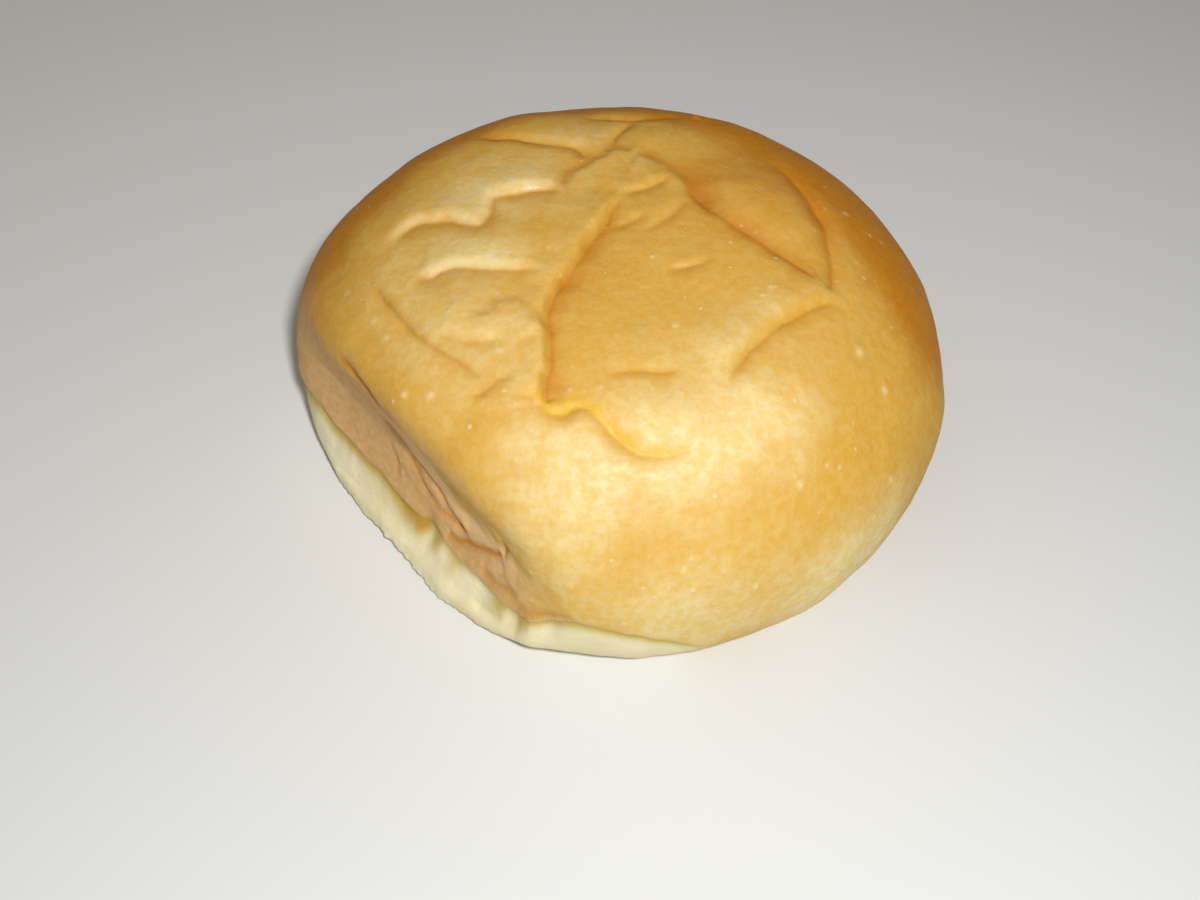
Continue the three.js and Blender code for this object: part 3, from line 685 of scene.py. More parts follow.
def nearest_on_path(path, x, y):
    """For each place: distance, side (+1 on the left), way along the path and the left direction."""
    distance = np.full(x.shape, np.inf)
    side = np.zeros(x.shape)
    along = np.zeros(x.shape)
    left = np.zeros(x.shape + (2,))
    way = 0.0
    for start, end in zip(path[:-1], path[1:]):
        run = end - start
        length = np.hypot(*run)
        off_x, off_y = x - start[0], y - start[1]
        share = np.clip((off_x * run[0] + off_y * run[1]) / length ** 2, 0, 1)
        away = np.hypot(off_x - share * run[0], off_y - share * run[1])
        nearer = away < distance
        distance = np.where(nearer, away, distance)
        side = np.where(nearer, np.sign(run[0] * off_y - run[1] * off_x), side)
        along = np.where(nearer, way + share * length, along)
        left[nearer] = np.array([-run[1], run[0]]) / length
        way += length
    return distance, side, along, way, left


def crease_relief(x, y):
    """The skin's height, how far it is a crest or a valley, and the painted shade, amber, and smoothness
    with painted highlight of its lines.
    """
    height, tone, amber, gloss_and_highlight = np.zeros((4,) + x.shape)
    for number, crease in enumerate(CREASES.values()):
        path = smooth_path(crease.path)
        low, high = path.min(0) - STEP_MARGIN, path.max(0) + STEP_MARGIN
        near = (x > low[0]) & (x < high[0]) & (y > low[1]) & (y < high[1])
        distance, side, along, length, _ = nearest_on_path(path, x[near], y[near])
        off_line = side * distance
        strength = smoothstep(along, 0, crease.fade[0]) * smoothstep(length - along, 0, crease.fade[1])
        varied = strength * variation(along, length, number)
        spread = np.where(side > 0, *crease.spread)
        rounded = np.hypot(distance, crease.soft) - crease.soft
        valley = 1 - np.sin(math.pi / 2 * np.minimum(rounded / spread, 1))
        step = np.tanh(off_line / STEP_SHARPNESS) * np.exp(-(distance / STEP_REACH) ** 2) / 2
        off = distance / (RIDGE_WIDTH * spread)
        ridge = np.where(side > 0, *crease.ridge) * off * np.exp(1 - off)
        height[near] += varied * (crease.step * step - crease.depth * valley + ridge)
        # Painted shade: a dark line at the foot of each crease's step
        from_foot = off_line + PAINTED_SHADE_FROM_LINE * np.sign(crease.step)
        shade = np.where(from_foot > 0, *crease.shade)
        darkness = crease.tone * (PAINTED_SHADE_EVENNESS * strength + (1 - PAINTED_SHADE_EVENNESS) * varied)
        tone[near] = np.maximum(tone[near], darkness * np.exp(-np.abs(from_foot) / shade))
        glow = np.exp(-((off_line + AMBER_FROM_LINE) / AMBER_WIDTH) ** 2)
        amber[near] = np.maximum(amber[near], strength * crease.amber * glow)
        # Smoother raised side, with a painted highlight in its colour
        if crease.glossy:
            on_ridge = np.exp(-((off_line - GLOSS_FROM_LINE) / GLOSS_WIDTH) ** 2)
            gloss_and_highlight[near] = np.maximum(gloss_and_highlight[near], varied * on_ridge)
    crest = height / CREST_HEIGHT
    return height + spots(x, y, SWELLINGS), crest, tone, amber, gloss_and_highlight


def variation(along, length, number):
    """How the strength of one crease varies on its way."""
    ways = np.linspace(0, length, VARIES_STEPS)
    rough = [noise.noise((way / VARIES_OVER, VARIES_APART * number, 1.0)) for way in ways]
    return 1 + VARIES_BY * np.interp(along, ways, rough)


def waver(x, y):
    """Places moved slightly, so that the lines drawn on them are a little uneven."""
    points = [(px / WAVERS_OVER, py / WAVERS_OVER) for px, py in zip(x.tolist(), y.tolist())]
    off_x = np.array([noise.noise((px, py, WAVER_SLICES[0])) for px, py in points])
    off_y = np.array([noise.noise((px, py, WAVER_SLICES[1])) for px, py in points])
    return x + WAVERS_BY * off_x, y + WAVERS_BY * off_y


def gather_to_lines(x, y):
    """Moves places on the skin towards the nearest crease, so that its line is finely meshed."""
    nearest = np.full(x.shape, np.inf)
    pull_x, pull_y = np.zeros(x.shape), np.zeros(x.shape)
    for crease in CREASES.values():
        distance, side, along, length, left = nearest_on_path(smooth_path(crease.path), x, y)
        nearer = distance < nearest
        nearest = np.where(nearer, distance, nearest)
        inside = smoothstep(along, 0, GATHER_ENDS) * smoothstep(length - along, 0, GATHER_ENDS)
        pull_x = np.where(nearer, -side * left[:, 0] * inside, pull_x)
        pull_y = np.where(nearer, -side * left[:, 1] * inside, pull_y)
    pull = GATHER_SHARE * GATHER_WIDTH * np.tanh(nearest / GATHER_WIDTH)
    pull = pull * (1 - smoothstep(nearest, *GATHER_REACH))
    return x + pull * pull_x, y + pull * pull_y


def undulation(x, y):
    """Slight unevenness of the skin, and its blisters."""
    height = np.array([
        sum(size * noise.noise((px / over, py / over, cut)) for size, over, cut in UNDULATIONS)
        for px, py in zip(x.tolist(), y.tolist())
    ])
    return height + spots(x, y, BLISTERS)


def skin_grid(rings, length):
    """Places on the laid-out skin, k on each sector of ring k, and the triangles between the rings."""
    starts = [0] + [1 + SECTORS * k * (k - 1) // 2 for k in range(1, rings + 1)]
    x, y = [np.zeros(1)], [np.zeros(1)]
    for ring in range(1, rings + 1):
        azimuth = 2 * math.pi * np.arange(SECTORS * ring) / (SECTORS * ring)
        x.append(length * ring / rings * np.cos(azimuth))
        y.append(length * ring / rings * np.sin(azimuth))
    faces = []
    for ring in range(1, rings + 1):
        sector, i = np.divmod(np.arange(SECTORS * ring), ring)
        outer = starts[ring] + np.arange(SECTORS * ring)
        outer_next = starts[ring] + (np.arange(SECTORS * ring) + 1) % (SECTORS * ring)
        count = max(SECTORS * (ring - 1), 1)
        inner = starts[ring - 1] + (sector * (ring - 1) + i) % count
        faces.append(np.stack([inner, outer, outer_next], -1))
        second = i < ring - 1
        inner_next = starts[ring - 1] + (sector * (ring - 1) + i + 1) % count
        faces.append(np.stack([inner, outer_next, inner_next], -1)[second])
    edge = starts[rings] + np.arange(SECTORS * rings)
    return np.concatenate(x), np.concatenate(y), np.concatenate(faces), edge


# Under the edge of the base: how far in from the edge each ring lies, and its height, in mm, how many of
# these rings look like the edge itself, and by how much the flat rings inside them shrink
TUCKED_RINGS = [(0.7, 0.6), (1.8, 0.28), (3.4, 0.08), (5.5, 0.0)]
RINGS_LIKE_EDGE = 2
UNDERSIDE_SHRINK = 0.8


def underside_rings(edge_place, edge_ids):
    """Rings that tuck in under the edge, then rings with half the corners each, down to the middle."""
    places, faces = [], []
    rim_ids = edge_ids
    next_id = edge_ids[-1] + 1
    radius = np.hypot(edge_place[:, 0], edge_place[:, 1])
    outward = edge_place / radius[:, None]
    for inset, height in TUCKED_RINGS:
        place = outward * (radius - inset)[:, None]
        place[:, 2] = height
        ids = next_id + np.arange(len(place))
        next_id += len(place)
        after, there = np.roll(rim_ids, -1), np.roll(ids, -1)
        faces += [np.stack([rim_ids, ids, after], -1), np.stack([ids, there, after], -1)]
        places.append(place)
        rim_ids = ids
    while len(rim_ids) % 2 == 0:
        place = places[-1][::2] * UNDERSIDE_SHRINK
        place[:, 2] = 0
        ids = next_id + np.arange(len(place))
        next_id += len(place)
        after, there = np.roll(rim_ids[::2], -1), np.roll(ids, -1)
        faces += [
            np.stack([rim_ids[::2], ids, rim_ids[1::2]], -1),
            np.stack([rim_ids[1::2], ids, there], -1),
            np.stack([rim_ids[1::2], there, after], -1),
        ]
        places.append(place)
        rim_ids = ids
    places.append(np.zeros((1, 3)))
    faces.append(np.stack([rim_ids, np.full(len(rim_ids), next_id), np.roll(rim_ids, -1)], -1))
    return np.concatenate(places), np.concatenate(faces)


def noise_round(around, kind):
    """A noise that closes round the bun, at directions from its axis."""
    count, cut = kind
    return np.array([noise.noise((math.cos(a) * count, math.sin(a) * count, cut)) for a in around])


def ragged_edge(place):
    """Lifts the skin near the edge of the base a little off the floor, and tears the edge slightly."""
    around = np.arctan2(place[:, 1], place[:, 0])
    radius = np.hypot(place[:, 0], place[:, 1])
    torn = EDGE_TEAR * noise_round(around, TEAR_NOISE) * np.maximum(0, 1 - place[:, 2] / TEAR_REACH)
    place[:, :2] *= 1 + (torn / radius)[:, None]
    lift = 1 + noise_round(around, LIFT_NOISE)
    place[:, 2] += EDGE_LIFT * lift * np.maximum(0, 1 - place[:, 2] / LIFT_REACH)
    return place


def make_bun_mesh(sizes):
    body = Body(sizes)
    x, y, faces, edge = skin_grid(sizes.skin_rings, body.length)
    even_x, even_y = x[edge], y[edge]
    x, y = gather_to_lines(x, y)
    x[edge], y[edge] = even_x, even_y
    height, crest, tone, amber, gloss_and_highlight = crease_relief(*waver(x, y))
    uneven = undulation(x, y)
    crest += uneven / UNEVEN_HEIGHT
    place = body.points(x, y) + body.normals(x, y) * (height + uneven)[:, None]
    low = place[:, 2] < LIFT_REACH
    place[low] = ragged_edge(place[low])
    under_place, under_faces = underside_rings(place[edge], edge)
    corners = np.vstack([place, under_place]) * MM
    mesh = bpy.data.meshes.new("bun_skin")
    mesh.from_pydata(corners.tolist(), [], np.vstack([faces, under_faces]).tolist())
    mesh.shade_smooth()
    lay_out_uv(mesh, x, y, len(faces), body.length)
    for name, values in skin_marks(*waver(x, y), crest, tone, amber, gloss_and_highlight).items():
        under_values = np.full(len(under_place), 1.0 if name == "under" else 0.0)
        under_values[:RINGS_LIKE_EDGE * len(edge)] = np.tile(values[edge], RINGS_LIKE_EDGE)
        add_values(mesh, name, np.append(values, under_values))
    return mesh


def skin_marks(x, y, crest, tone, amber, gloss_and_highlight):
    """What the material reads at each place of the skin."""
    return {
        # Painted shade along the crease lines
        "tone": tone,
        "amber": amber,
        "gloss_and_highlight": np.clip(gloss_and_highlight, 0, 1),
        "blister": spots(x, y, [(middle, radius, 1) for middle, radius, _ in BLISTERS]),
        # Browning, with painted sheen on crests, painted shade in valleys and on the back shoulder, and
        # painted shade and highlight in some patches
        "browned": browning(x, y) - CREST_SHEEN_VALLEY_SHADE * crest,
        "under": np.zeros(len(x)),
        **edge_and_side_marks(x, y),
    }


def browning(x, y):
    """How brown the skin is beside its crests and valleys, with painted shade and highlight mixed in."""
    at_back = smoothstep(np.sin(np.arctan2(y, x)), *BACK_FROM)
    off_middle = np.hypot(x - RIM_MIDDLE[0], y - RIM_MIDDLE[1])
    # Browning and painted shade of the back shoulder
    shoulder = RIM_BROWNING_AND_SHADE * smoothstep(off_middle, *RIM_WAYS)
    low_down = LOW_PALENESS * smoothstep(np.hypot(x, y), *LOW_WAYS)
    return (shoulder - low_down) * at_back + spots(x, y, BROWNING_AND_LIGHT_PATCHES)


def edge_and_side_marks(x, y):
    """The bare bread under the edge of the skin, with painted shade under its lip, and the dull skin of the
    pressed side above it, with painted light along its border.
    """
    distance, side, along, length, _ = nearest_on_path(smooth_path(CREASES["skin edge"].path), x, y)
    below = -side * distance
    ends = smoothstep(along, 0, BARE_ENDS[0]) * smoothstep(length - along, 0, BARE_ENDS[1])
    fades = np.interp(along, AMBER_WAYS, AMBER_FADES)
    # Amber of the bread under the skin's edge, partly its tint and partly painted shade under the lip
    bread_amber_and_shade = np.exp(-(np.maximum(below, 0) / fades) ** AMBER_FALL)
    bread_amber_and_shade = np.interp(along, AMBER_WAYS, AMBER_AMOUNTS) * bread_amber_and_shade + spots(x, y, POCKETS)
    lip = np.exp(-((below + LIP_ABOVE) / LIP_WIDTH) ** 2)
    lip = lip * np.interp(along, PALE_EDGE_WAYS, PALE_EDGE_AMOUNTS)
    pressed = np.exp(-(np.maximum(0, distance - PRESSED_UP) / PRESSED_FADE) ** 2)
    pressed = pressed * smoothstep(along, *PRESSED_START) * smoothstep(length - along, *PRESSED_END)
    off_border, border_side, along_border, _, _ = nearest_on_path(smooth_path(TAN_BORDER), x, y)
    past_border = -border_side * off_border
    over = np.interp(along_border, TAN_OVER_WAYS, TAN_OVER)
    in_tan = smoothstep(past_border, -over - TAN_EDGE, -over + TAN_EDGE)
    matt_side = smoothstep(past_border, *MATT_OVER_TAN) * pressed
    matt_way = np.hypot(x - RIM_MIDDLE[0], y - RIM_MIDDLE[1])
    return {
        "bare": smoothstep(below, *BARE_FROM) * ends,
        "pocket_and_shade": smoothstep(below, *AMBER_FROM) * np.minimum(bread_amber_and_shade, 1) * ends,
        "lip": lip * ends,
        "tan": in_tan * smoothstep(-below, *TAN_ABOVE_EDGE) * pressed,
        # Painted light along the border of the tan
        "border_light": np.exp(-(off_border / BORDER_LIGHT_WIDTH) ** 2) * smoothstep(along_border, *BORDER_LIGHT_WAYS),
        "matt": np.maximum(matt_side, smoothstep(matt_way, *MATT_WAYS)),
    }


def add_values(mesh, name, values):
    """Stores one value for each vertex, for the material to read."""
    layer = mesh.attributes.new(name, "FLOAT", "POINT")
    layer.data.foreach_set("value", values.astype(np.float32))


# The UV map: the laid-out skin is a disc, and the underside a smaller one in a free corner. Middle and
# radius of each, and the radius in mm that the smaller one spans
SKIN_DISC = (0.54, 0.54, 0.455)
UNDERSIDE_DISC = (0.128, 0.128, 0.12)
UNDERSIDE_REACH = 58.0


def lay_out_uv(mesh, x, y, skin_faces, length):
    """The UV map of the skin's disc and of the underside seen from above."""
    corners = np.zeros(len(mesh.loops), int)
    mesh.loops.foreach_get("vertex_index", corners)
    flat = np.zeros(len(mesh.vertices) * 3)
    mesh.vertices.foreach_get("co", flat)
    flat = flat.reshape(-1, 3)[:, :2] / MM
    skin_x, skin_y, skin_radius = SKIN_DISC
    under_x, under_y, under_radius = UNDERSIDE_DISC
    skin = np.zeros((len(flat), 2))
    skin[:len(x)] = np.stack([x, y], -1) * skin_radius / length + (skin_x, skin_y)
    under = flat * under_radius / UNDERSIDE_REACH + (under_x, under_y)
    on_skin = np.repeat(np.arange(len(mesh.polygons)) < skin_faces, 3)
    layer = mesh.uv_layers.new(name="OFBake")
    layer.data.foreach_set("uv", np.where(on_skin[:, None], skin[corners], under[corners]).ravel())


class CrustProperties(bpy.types.PropertyGroup):
    """Colours of the skin and the bare bread."""

    pale_gold: colour_setting("Pale gold", "Lightest browned skin", (0.84, 0.70, 0.37))
    gold: colour_setting("Gold", "Most of the skin", (0.70, 0.42, 0.085))
    brown: colour_setting("Brown", "Darkest browned skin", (0.58, 0.235, 0.014))
    deepening: colour_setting(
        "Deepening", "Tint of the skin's small deeper yellow places", (0.97, 0.87, 0.57),
    )
    # Painted shade at the foot of the crease lines
    crease: colour_setting("Crease", "Line at the bottom of a crease", (0.50, 0.185, 0.008))
    tan: colour_setting("Pressed tan", "Dull skin of the pressed side", (0.665, 0.385, 0.145))
    pale_tan: colour_setting("Pale tan", "Lighter places of the pressed side's skin", (0.93, 0.61, 0.31))
    amber: colour_setting("Amber", "Glassy skin at the bottom of some creases", (0.78, 0.46, 0.045))
    crumb: colour_setting("Bare bread", "Unbrowned bread above the edge of the base", (0.84, 0.73, 0.42))
    pale_crumb: colour_setting("Pale bread", "Lighter places of the bare bread", (0.89, 0.81, 0.55))
    # Olive and the darkest bread colour: partly the bread's tint, partly painted shade under the skin's lip
    olive: colour_setting("Shaded bread", "Bare bread near the edge of the skin", (0.66, 0.52, 0.18))
    pocket_and_shade: colour_setting("Pocket", "Bare bread right under the edge of the skin", (0.56, 0.32, 0.05))
    blister: colour_setting("Blister", "Small pale blisters of the skin", (0.88, 0.72, 0.40))
    roughness: number_setting("Roughness", "Roughness of the browned skin", 0.55, 0, 1)


class StageProperties(bpy.types.PropertyGroup):
    """The camera, floor and lights."""

    camera_target: FloatVectorProperty(
        name="Target", description="Point that the camera looks at",
        default=(-0.0026, -0.0137, 0.0099), size=3, unit="LENGTH",
    )
    camera_distance: FloatProperty(
        name="Distance", description="From the camera to its target",
        default=0.2462, min=0.05, unit="LENGTH",
    )
    camera_elevation: FloatProperty(
        name="Elevation", description="Height of the camera above the horizon, seen from the target",
        default=math.radians(50.67), subtype="ANGLE",
    )
    camera_roll: FloatProperty(
        name="Roll", description="Turn of the camera about its own line of sight",
        default=math.radians(2.41), subtype="ANGLE",
    )
    lens: number_setting("Lens", "Focal length for a sensor 36 mm wide", 45.0, 10, 200)
    floor_colour: colour_setting("Floor", "Colour of the plain floor", (0.74, 0.74, 0.73))
    key_power: FloatProperty(
        name="Key power", description="Power of the soft light beside the camera",
        default=1.09, min=0, unit="POWER",
    )
    fill_power: FloatProperty(
        name="Fill power", description="Power of the wide light overhead",
        default=0.68, min=0, unit="POWER",
    )


# Noises of the material: how fine, how many layers and how rough
PATCHES = (24, 2, 0.5)
MOTTLE = (210, 4, 0.6)
SPECKS = (700, 2, 0.6)
PRESS_MARKS = (1.0, 4, 0.65)
GLINTS = (300, 2, 0.5)
BREAD_PATCHES = (90, 3, 0.6)
FINE_WRINKLES = (520, 3, 0.55)
GRAIN = (1300, 3, 0.6)
DOT_AREAS = (55, 1, 0.5)
# The press marks run along the pressed side: its turn, and how many marks there are along and across it
SIDE_TURN = math.radians(-48)
SIDE_SQUEEZE = (420.0, 900.0, 900.0)
# Scattered dots: how many, how large for their cell, how soft, how rarely there is one, and how much
# rarer they are in some areas
DOT_CELLS = 430.0
DOT_SIZES = (0.12, 0.30)
DOT_RIM = 0.02
DOT_CHANCE = (0.35, 0.9)
DOT_RARER = (0.35, 0.65, 0.15, 1.0)
# How much the noises brown the skin, and at what browning it goes from pale to gold and on to brown
PATCHES_BROWN = 0.35
MOTTLE_BROWNS = 0.3
GOLD_FROM = (-1.0, 0.0)
BROWN_FROM = (0.0, 0.7)
# Share of the specks and the mottle in the deeper places, and the range of that mixture
DEEP_SPECKS = 0.7
DEEP_MOTTLE = 0.3
DEEP_FROM = (0.35, 0.65)
# The pressed side: how far its colour covers the skin, and how much paler its painted light makes it along
# its border
TAN_COVER = 0.85
BORDER_LIGHT_PALER = 0.4
TAN_RANGE = (0.2, 1.05)
# How pale the dots and the single blisters are, how pale the painted highlight makes the smoother ridges,
# and where those ridges are broken
DOT_PALE = 0.6
BLISTER_PALE = 0.65
PAINTED_HIGHLIGHT_PALE = 0.5
GLINT_RANGE = (0.35, 0.62, 0.25, 1.0)
# Ranges over which the bare bread turns pale, olive and amber, and the underside brown
BREAD_RANGE = (0.3, 0.7)
OLIVE_FROM = (0.0, 0.5)
POCKET_FROM = (0.3, 1.0)
UNDERSIDE_RANGE = (0.3, 0.7)
# Roughness: how much it varies, how much the gloss takes from it, and that of the bread
ROUGH_VARIES = 0.35
GLOSS_SMOOTHS = 0.32
BREAD_ROUGHNESS = 0.8
# Reflection of the glossy skin and of the matt skin
SPECULAR = (0.5, 0.06)
# Fine relief: share of the wrinkles and dots beside the grain, its strength, and its height in metres
WRINKLE_SHARE = 1.6
DOT_SHARE = 1.6
BUMP_STRENGTH = 0.55
BUMP_HEIGHT = 0.00014
# Light that enters the bread, and a faint glaze over its skin
PLAIN_INPUTS = {
    "Subsurface Weight": 0.25,
    "Subsurface Radius": (1.0, 0.6, 0.25),
    "Subsurface Scale": 0.0013,
    "Coat Weight": 0.05,
    "Coat Roughness": 0.35,
}


class Nodes:
    """Short names for making and joining the nodes of one material."""

    def __init__(self, material):
        material.use_nodes = True
        self.tree = material.node_tree
        self.shader = self.tree.nodes["Principled BSDF"].inputs

    def add(self, kind, inputs=None, **settings):
        node = self.tree.nodes.new(kind)
        for name, value in settings.items():
            setattr(node, name, value)
        for name, value in (inputs or {}).items():
            self.put(node.inputs[name], value)
        return node

    def put(self, socket, value):
        if isinstance(value, bpy.types.NodeSocket):
            self.tree.links.new(value, socket)
        elif socket.type == "RGBA":
            socket.default_value = (*value, 1)
        else:
            socket.default_value = value

    def value(self, name):
        """A value that is stored on the mesh."""
        return self.add("ShaderNodeAttribute", attribute_name=name).outputs["Fac"]

    def math(self, operation, a, b, c=0.0):
        return self.add("ShaderNodeMath", {0: a, 1: b, 2: c}, operation=operation).outputs[0]

    def noise(self, kind, where=None):
        scale, layers, rough = kind
        inputs = {"Scale": scale, "Detail": layers, "Roughness": rough, "Vector": where or self.place()}
        return self.add("ShaderNodeTexNoise", inputs).outputs["Fac"]

    def place(self):
        return self.add("ShaderNodeTexCoord").outputs["Object"]

    def along_the_side(self):
        """Places squeezed so that marks run along the pressed side."""
        inputs = {"Vector": self.place(), "Rotation": (0.0, 0.0, SIDE_TURN), "Scale": SIDE_SQUEEZE}
        return self.add("ShaderNodeMapping", inputs, vector_type="POINT").outputs["Vector"]

    def dots(self):
        """Scattered pale dots, each in its own small cell."""
        cells = self.add("ShaderNodeTexVoronoi", {"Scale": DOT_CELLS, "Vector": self.place()})
        split = self.add("ShaderNodeSeparateColor", {"Color": cells.outputs["Color"]})
        size = self.between(split.outputs["Green"], 0, 1, *DOT_SIZES)
        dot = self.between(cells.outputs["Distance"], size, DOT_RIM)
        some = self.between(split.outputs["Red"], *DOT_CHANCE)
        rarer = self.between(self.noise(DOT_AREAS), *DOT_RARER)
        return self.math("MULTIPLY", self.math("MULTIPLY", dot, some), rarer)

    def mix(self, share, a, b, blend="MIX"):
        node = self.add("ShaderNodeMix", data_type="RGBA", blend_type=blend)
        self.put(node.inputs["Factor"], share)
        self.put(node.inputs["A"], a)
        self.put(node.inputs["B"], b)
        return node.outputs["Result"]

    def between(self, value, low, high, start=0.0, end=1.0):
        """A smooth change from start to end while the value goes from low to high."""
        inputs = {"Value": value, "From Min": low, "From Max": high, "To Min": start, "To Max": end}
        return self.add("ShaderNodeMapRange", inputs, interpolation_type="SMOOTHSTEP").outputs["Result"]

    def varied(self, value, noise, by):
        """A value that a noise raises and lowers."""
        return self.math("MULTIPLY_ADD", self.math("SUBTRACT", noise, 0.5), by, value)


def browned_colour(nodes, colours, mottle, specks):
    """Skin from pale gold to brown, with small deeper places; the browning it reads holds painted shade and
    highlight too.
    """
    browned = nodes.varied(nodes.value("browned"), nodes.noise(PATCHES), PATCHES_BROWN)
    browned = nodes.varied(browned, mottle, MOTTLE_BROWNS)
    skin = nodes.mix(nodes.between(browned, *GOLD_FROM), colours.pale_gold, colours.gold)
    skin = nodes.mix(nodes.between(browned, *BROWN_FROM), skin, colours.brown)
    deep = nodes.math("MULTIPLY_ADD", specks, DEEP_SPECKS, nodes.math("MULTIPLY", mottle, DEEP_MOTTLE))
    return nodes.mix(nodes.between(deep, *DEEP_FROM), skin, colours.deepening, "MULTIPLY")


def pressed_colour(nodes, colours, skin):
    """The skin with the dull tan of the pressed side over it, and painted light along the tan's border."""
    marks = nodes.noise(PRESS_MARKS, nodes.along_the_side())
    # Painted light: the tan is lighter along its border
    marks = nodes.math("MULTIPLY_ADD", nodes.value("border_light"), BORDER_LIGHT_PALER, marks)
    tan = nodes.mix(nodes.between(marks, *TAN_RANGE), colours.tan, colours.pale_tan)
    return nodes.mix(nodes.math("MULTIPLY", nodes.value("tan"), TAN_COVER), skin, tan)


def marked_colour(nodes, colours, skin, dots, gloss_and_highlight):
    """The skin with its pale blisters and lip, the painted highlight of its smoother ridges, and the painted
    shade along the lines of its creases.
    """
    blister = nodes.math("MULTIPLY", nodes.value("blister"), BLISTER_PALE)
    pale = nodes.math("MAXIMUM", nodes.math("MULTIPLY", dots, DOT_PALE), blister)
    # Painted highlight: the smoother ridges painted paler
    glossy = nodes.math("MULTIPLY", gloss_and_highlight, PAINTED_HIGHLIGHT_PALE)
    pale = nodes.math("MAXIMUM", pale, nodes.math("MAXIMUM", glossy, nodes.value("lip")))
    skin = nodes.mix(pale, skin, colours.blister)
    skin = nodes.mix(nodes.value("amber"), skin, colours.amber)
    # Painted shade along the crease lines
    return nodes.mix(nodes.value("tone"), skin, colours.crease)


def bread_colour(nodes, colours):
    """Bare bread, olive and then amber towards the skin: partly its tint, partly painted shade under the
    skin's lip.
    """
    patches = nodes.between(nodes.noise(BREAD_PATCHES), *BREAD_RANGE)
    bread = nodes.mix(patches, colours.crumb, colours.pale_crumb)
    pocket_and_shade = nodes.value("pocket_and_shade")
    bread = nodes.mix(nodes.between(pocket_and_shade, *OLIVE_FROM), bread, colours.olive)
    return nodes.mix(nodes.between(pocket_and_shade, *POCKET_FROM), bread, colours.pocket_and_shade)


def crust_material(colours):
    """Browned skin, bare bread and underside in one material, told apart by the mesh's values."""
    material = bpy.data.materials.new("browned_skin")
    nodes = Nodes(material)
    shader = nodes.shader
    mottle, specks = nodes.noise(MOTTLE), nodes.noise(SPECKS)
    dots = nodes.dots()
    glints = nodes.between(nodes.noise(GLINTS), *GLINT_RANGE)
    gloss_and_highlight = nodes.math("MULTIPLY", nodes.value("gloss_and_highlight"), glints)
    skin = pressed_colour(nodes, colours, browned_colour(nodes, colours, mottle, specks))
    skin = marked_colour(nodes, colours, skin, dots, gloss_and_highlight)
    bare = nodes.value("bare")
    side = nodes.mix(bare, skin, bread_colour(nodes, colours))
    base = nodes.mix(nodes.between(mottle, *UNDERSIDE_RANGE), colours.gold, colours.brown)
    nodes.put(shader["Base Color"], nodes.mix(nodes.value("under"), side, base))
    rough = nodes.varied(colours.roughness, specks, ROUGH_VARIES)
    rough = nodes.math("MULTIPLY_ADD", gloss_and_highlight, -GLOSS_SMOOTHS, rough)
    nodes.put(shader["Roughness"], nodes.between(bare, 0, 1, rough, BREAD_ROUGHNESS))
    nodes.put(shader["Specular IOR Level"], nodes.between(nodes.value("matt"), 0, 1, *SPECULAR))
    relief = nodes.math("MULTIPLY_ADD", nodes.noise(FINE_WRINKLES), WRINKLE_SHARE, nodes.noise(GRAIN))
    relief = nodes.math("MULTIPLY_ADD", dots, DOT_SHARE, relief)
    bump = {"Strength": BUMP_STRENGTH, "Distance": BUMP_HEIGHT, "Height": relief}
    nodes.put(shader["Normal"], nodes.add("ShaderNodeBump", bump).outputs["Normal"])
    for name, value in PLAIN_INPUTS.items():
        nodes.put(shader[name], value)
    return material


class BUN_OT_make_bun(bpy.types.Operator):
    """Make the bun: its wrinkled skin, bare rim and flat underside"""

    bl_idname = "cream_bun.make_bun"
    bl_label = "Make Bun"

    def execute(self, context):
        scene = context.scene
        bun = bpy.data.objects.new("bread_bun", make_bun_mesh(scene.bun_body))
        scene.collection.objects.link(bun)
        bun.data.materials.append(crust_material(scene.bun_crust))
        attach(bun, "root")
        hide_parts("bun")
        return {"FINISHED"}


# Place, width in metres and colour of each light
KEY_LIGHT = ((0.04, -0.205, 0.289), 0.035, (0.97, 0.99, 1))
FILL_LIGHT = ((-0.25, 0.12, 0.65), 0.8, (1, 0.93, 0.80))
ROOM_COLOUR = (1, 0.90, 0.76, 1)
ROOM_STRENGTH = 0.10
FLOOR_SIZE = 3
FLOOR_ROUGHNESS = 0.6
SENSOR_WIDTH = 36
NEAREST_SEEN = 0.01


def add_light(scene, name, kind, target, power):
    place, size, tint = kind
    light = bpy.data.lights.new(name, "AREA")
    light.shape, light.size, light.energy, light.color = "DISK", size, power, tint
    lamp = bpy.data.objects.new(name, light)
    lamp.location = place
    lamp.rotation_euler = (Vector(target) - Vector(place)).to_track_quat("-Z", "Y").to_euler()
    scene.collection.objects.link(lamp)


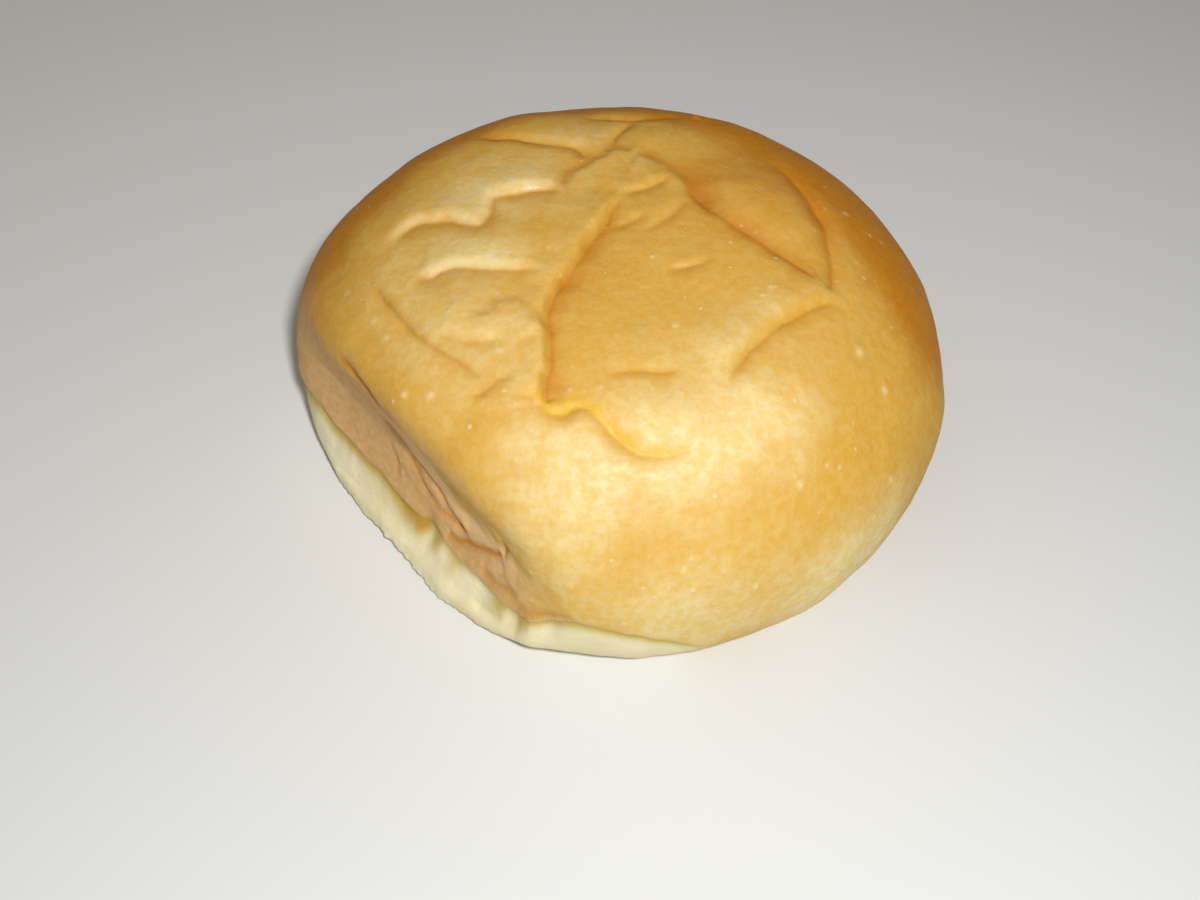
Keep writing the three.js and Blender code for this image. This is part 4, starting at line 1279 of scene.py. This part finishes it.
class BUN_OT_set_stage(bpy.types.Operator):
    """Set the camera, the plain floor and the soft lights"""

    bl_idname = "cream_bun.set_stage"
    bl_label = "Set Stage"

    def execute(self, context):
        scene = context.scene
        stage = scene.bun_stage
        self.set_camera(scene, stage)
        self.lay_floor(context, stage)
        add_light(scene, "key_light", KEY_LIGHT, stage.camera_target, stage.key_power)
        add_light(scene, "fill_light", FILL_LIGHT, stage.camera_target, stage.fill_power)
        world = bpy.data.worlds.new("soft_room")
        world.use_nodes = True
        room = world.node_tree.nodes["Background"].inputs
        room["Color"].default_value = ROOM_COLOUR
        room["Strength"].default_value = ROOM_STRENGTH
        scene.world = world
        scene.view_settings.view_transform = "Standard"
        return {"FINISHED"}

    def lay_floor(self, context, stage):
        bpy.ops.mesh.primitive_plane_add(size=FLOOR_SIZE)
        floor = context.object
        floor.name = "floor"
        material = bpy.data.materials.new("plain_floor")
        nodes = Nodes(material)
        nodes.put(nodes.shader["Base Color"], stage.floor_colour)
        nodes.put(nodes.shader["Roughness"], FLOOR_ROUGHNESS)
        floor.data.materials.append(material)

    def set_camera(self, scene, stage):
        camera = bpy.data.cameras.new("camera")
        camera.lens, camera.sensor_width, camera.clip_start = stage.lens, SENSOR_WIDTH, NEAREST_SEEN
        view = bpy.data.objects.new("camera", camera)
        back = Vector((0, -math.cos(stage.camera_elevation), math.sin(stage.camera_elevation)))
        right = Vector((1, 0, 0))
        turn = Matrix.Rotation(stage.camera_roll, 3, back)
        axes = Matrix((right, back.cross(right), back)).transposed()
        view.matrix_world = (turn @ axes).to_4x4()
        view.location = Vector(stage.camera_target) + stage.camera_distance * back
        scene.collection.objects.link(view)
        scene.camera = view


class BUN_PT_panel(bpy.types.Panel):
    """Lists the steps that build the bun"""

    bl_idname = "BUN_PT_panel"
    bl_label = "Soft Cream Bun"
    bl_space_type = "VIEW_3D"
    bl_region_type = "UI"
    bl_category = "Bun"

    def draw(self, context):
        for operator in OPERATORS:
            self.layout.operator(operator.bl_idname)
        for group in (context.scene.bun_body, context.scene.bun_crust, context.scene.bun_stage):
            box = self.layout.box()
            for name in group.__annotations__:
                box.prop(group, name)


OPERATORS = (BUN_OT_make_bun, BUN_OT_set_stage)
GROUPS = {"bun_body": BodyProperties, "bun_crust": CrustProperties, "bun_stage": StageProperties}


def register():
    for group in GROUPS.values():
        bpy.utils.register_class(group)
    for name, group in GROUPS.items():
        setattr(bpy.types.Scene, name, PointerProperty(type=group))
    for operator in OPERATORS:
        bpy.utils.register_class(operator)
    bpy.utils.register_class(BUN_PT_panel)


def unregister():
    bpy.utils.unregister_class(BUN_PT_panel)
    for operator in reversed(OPERATORS):
        bpy.utils.unregister_class(operator)
    for name in GROUPS:
        delattr(bpy.types.Scene, name)
    for group in reversed(GROUPS.values()):
        bpy.utils.unregister_class(group)


def main():
    register()
    bpy.ops.cream_bun.make_bun()
    bpy.ops.cream_bun.set_stage()


if __name__ == "__main__":
    main()
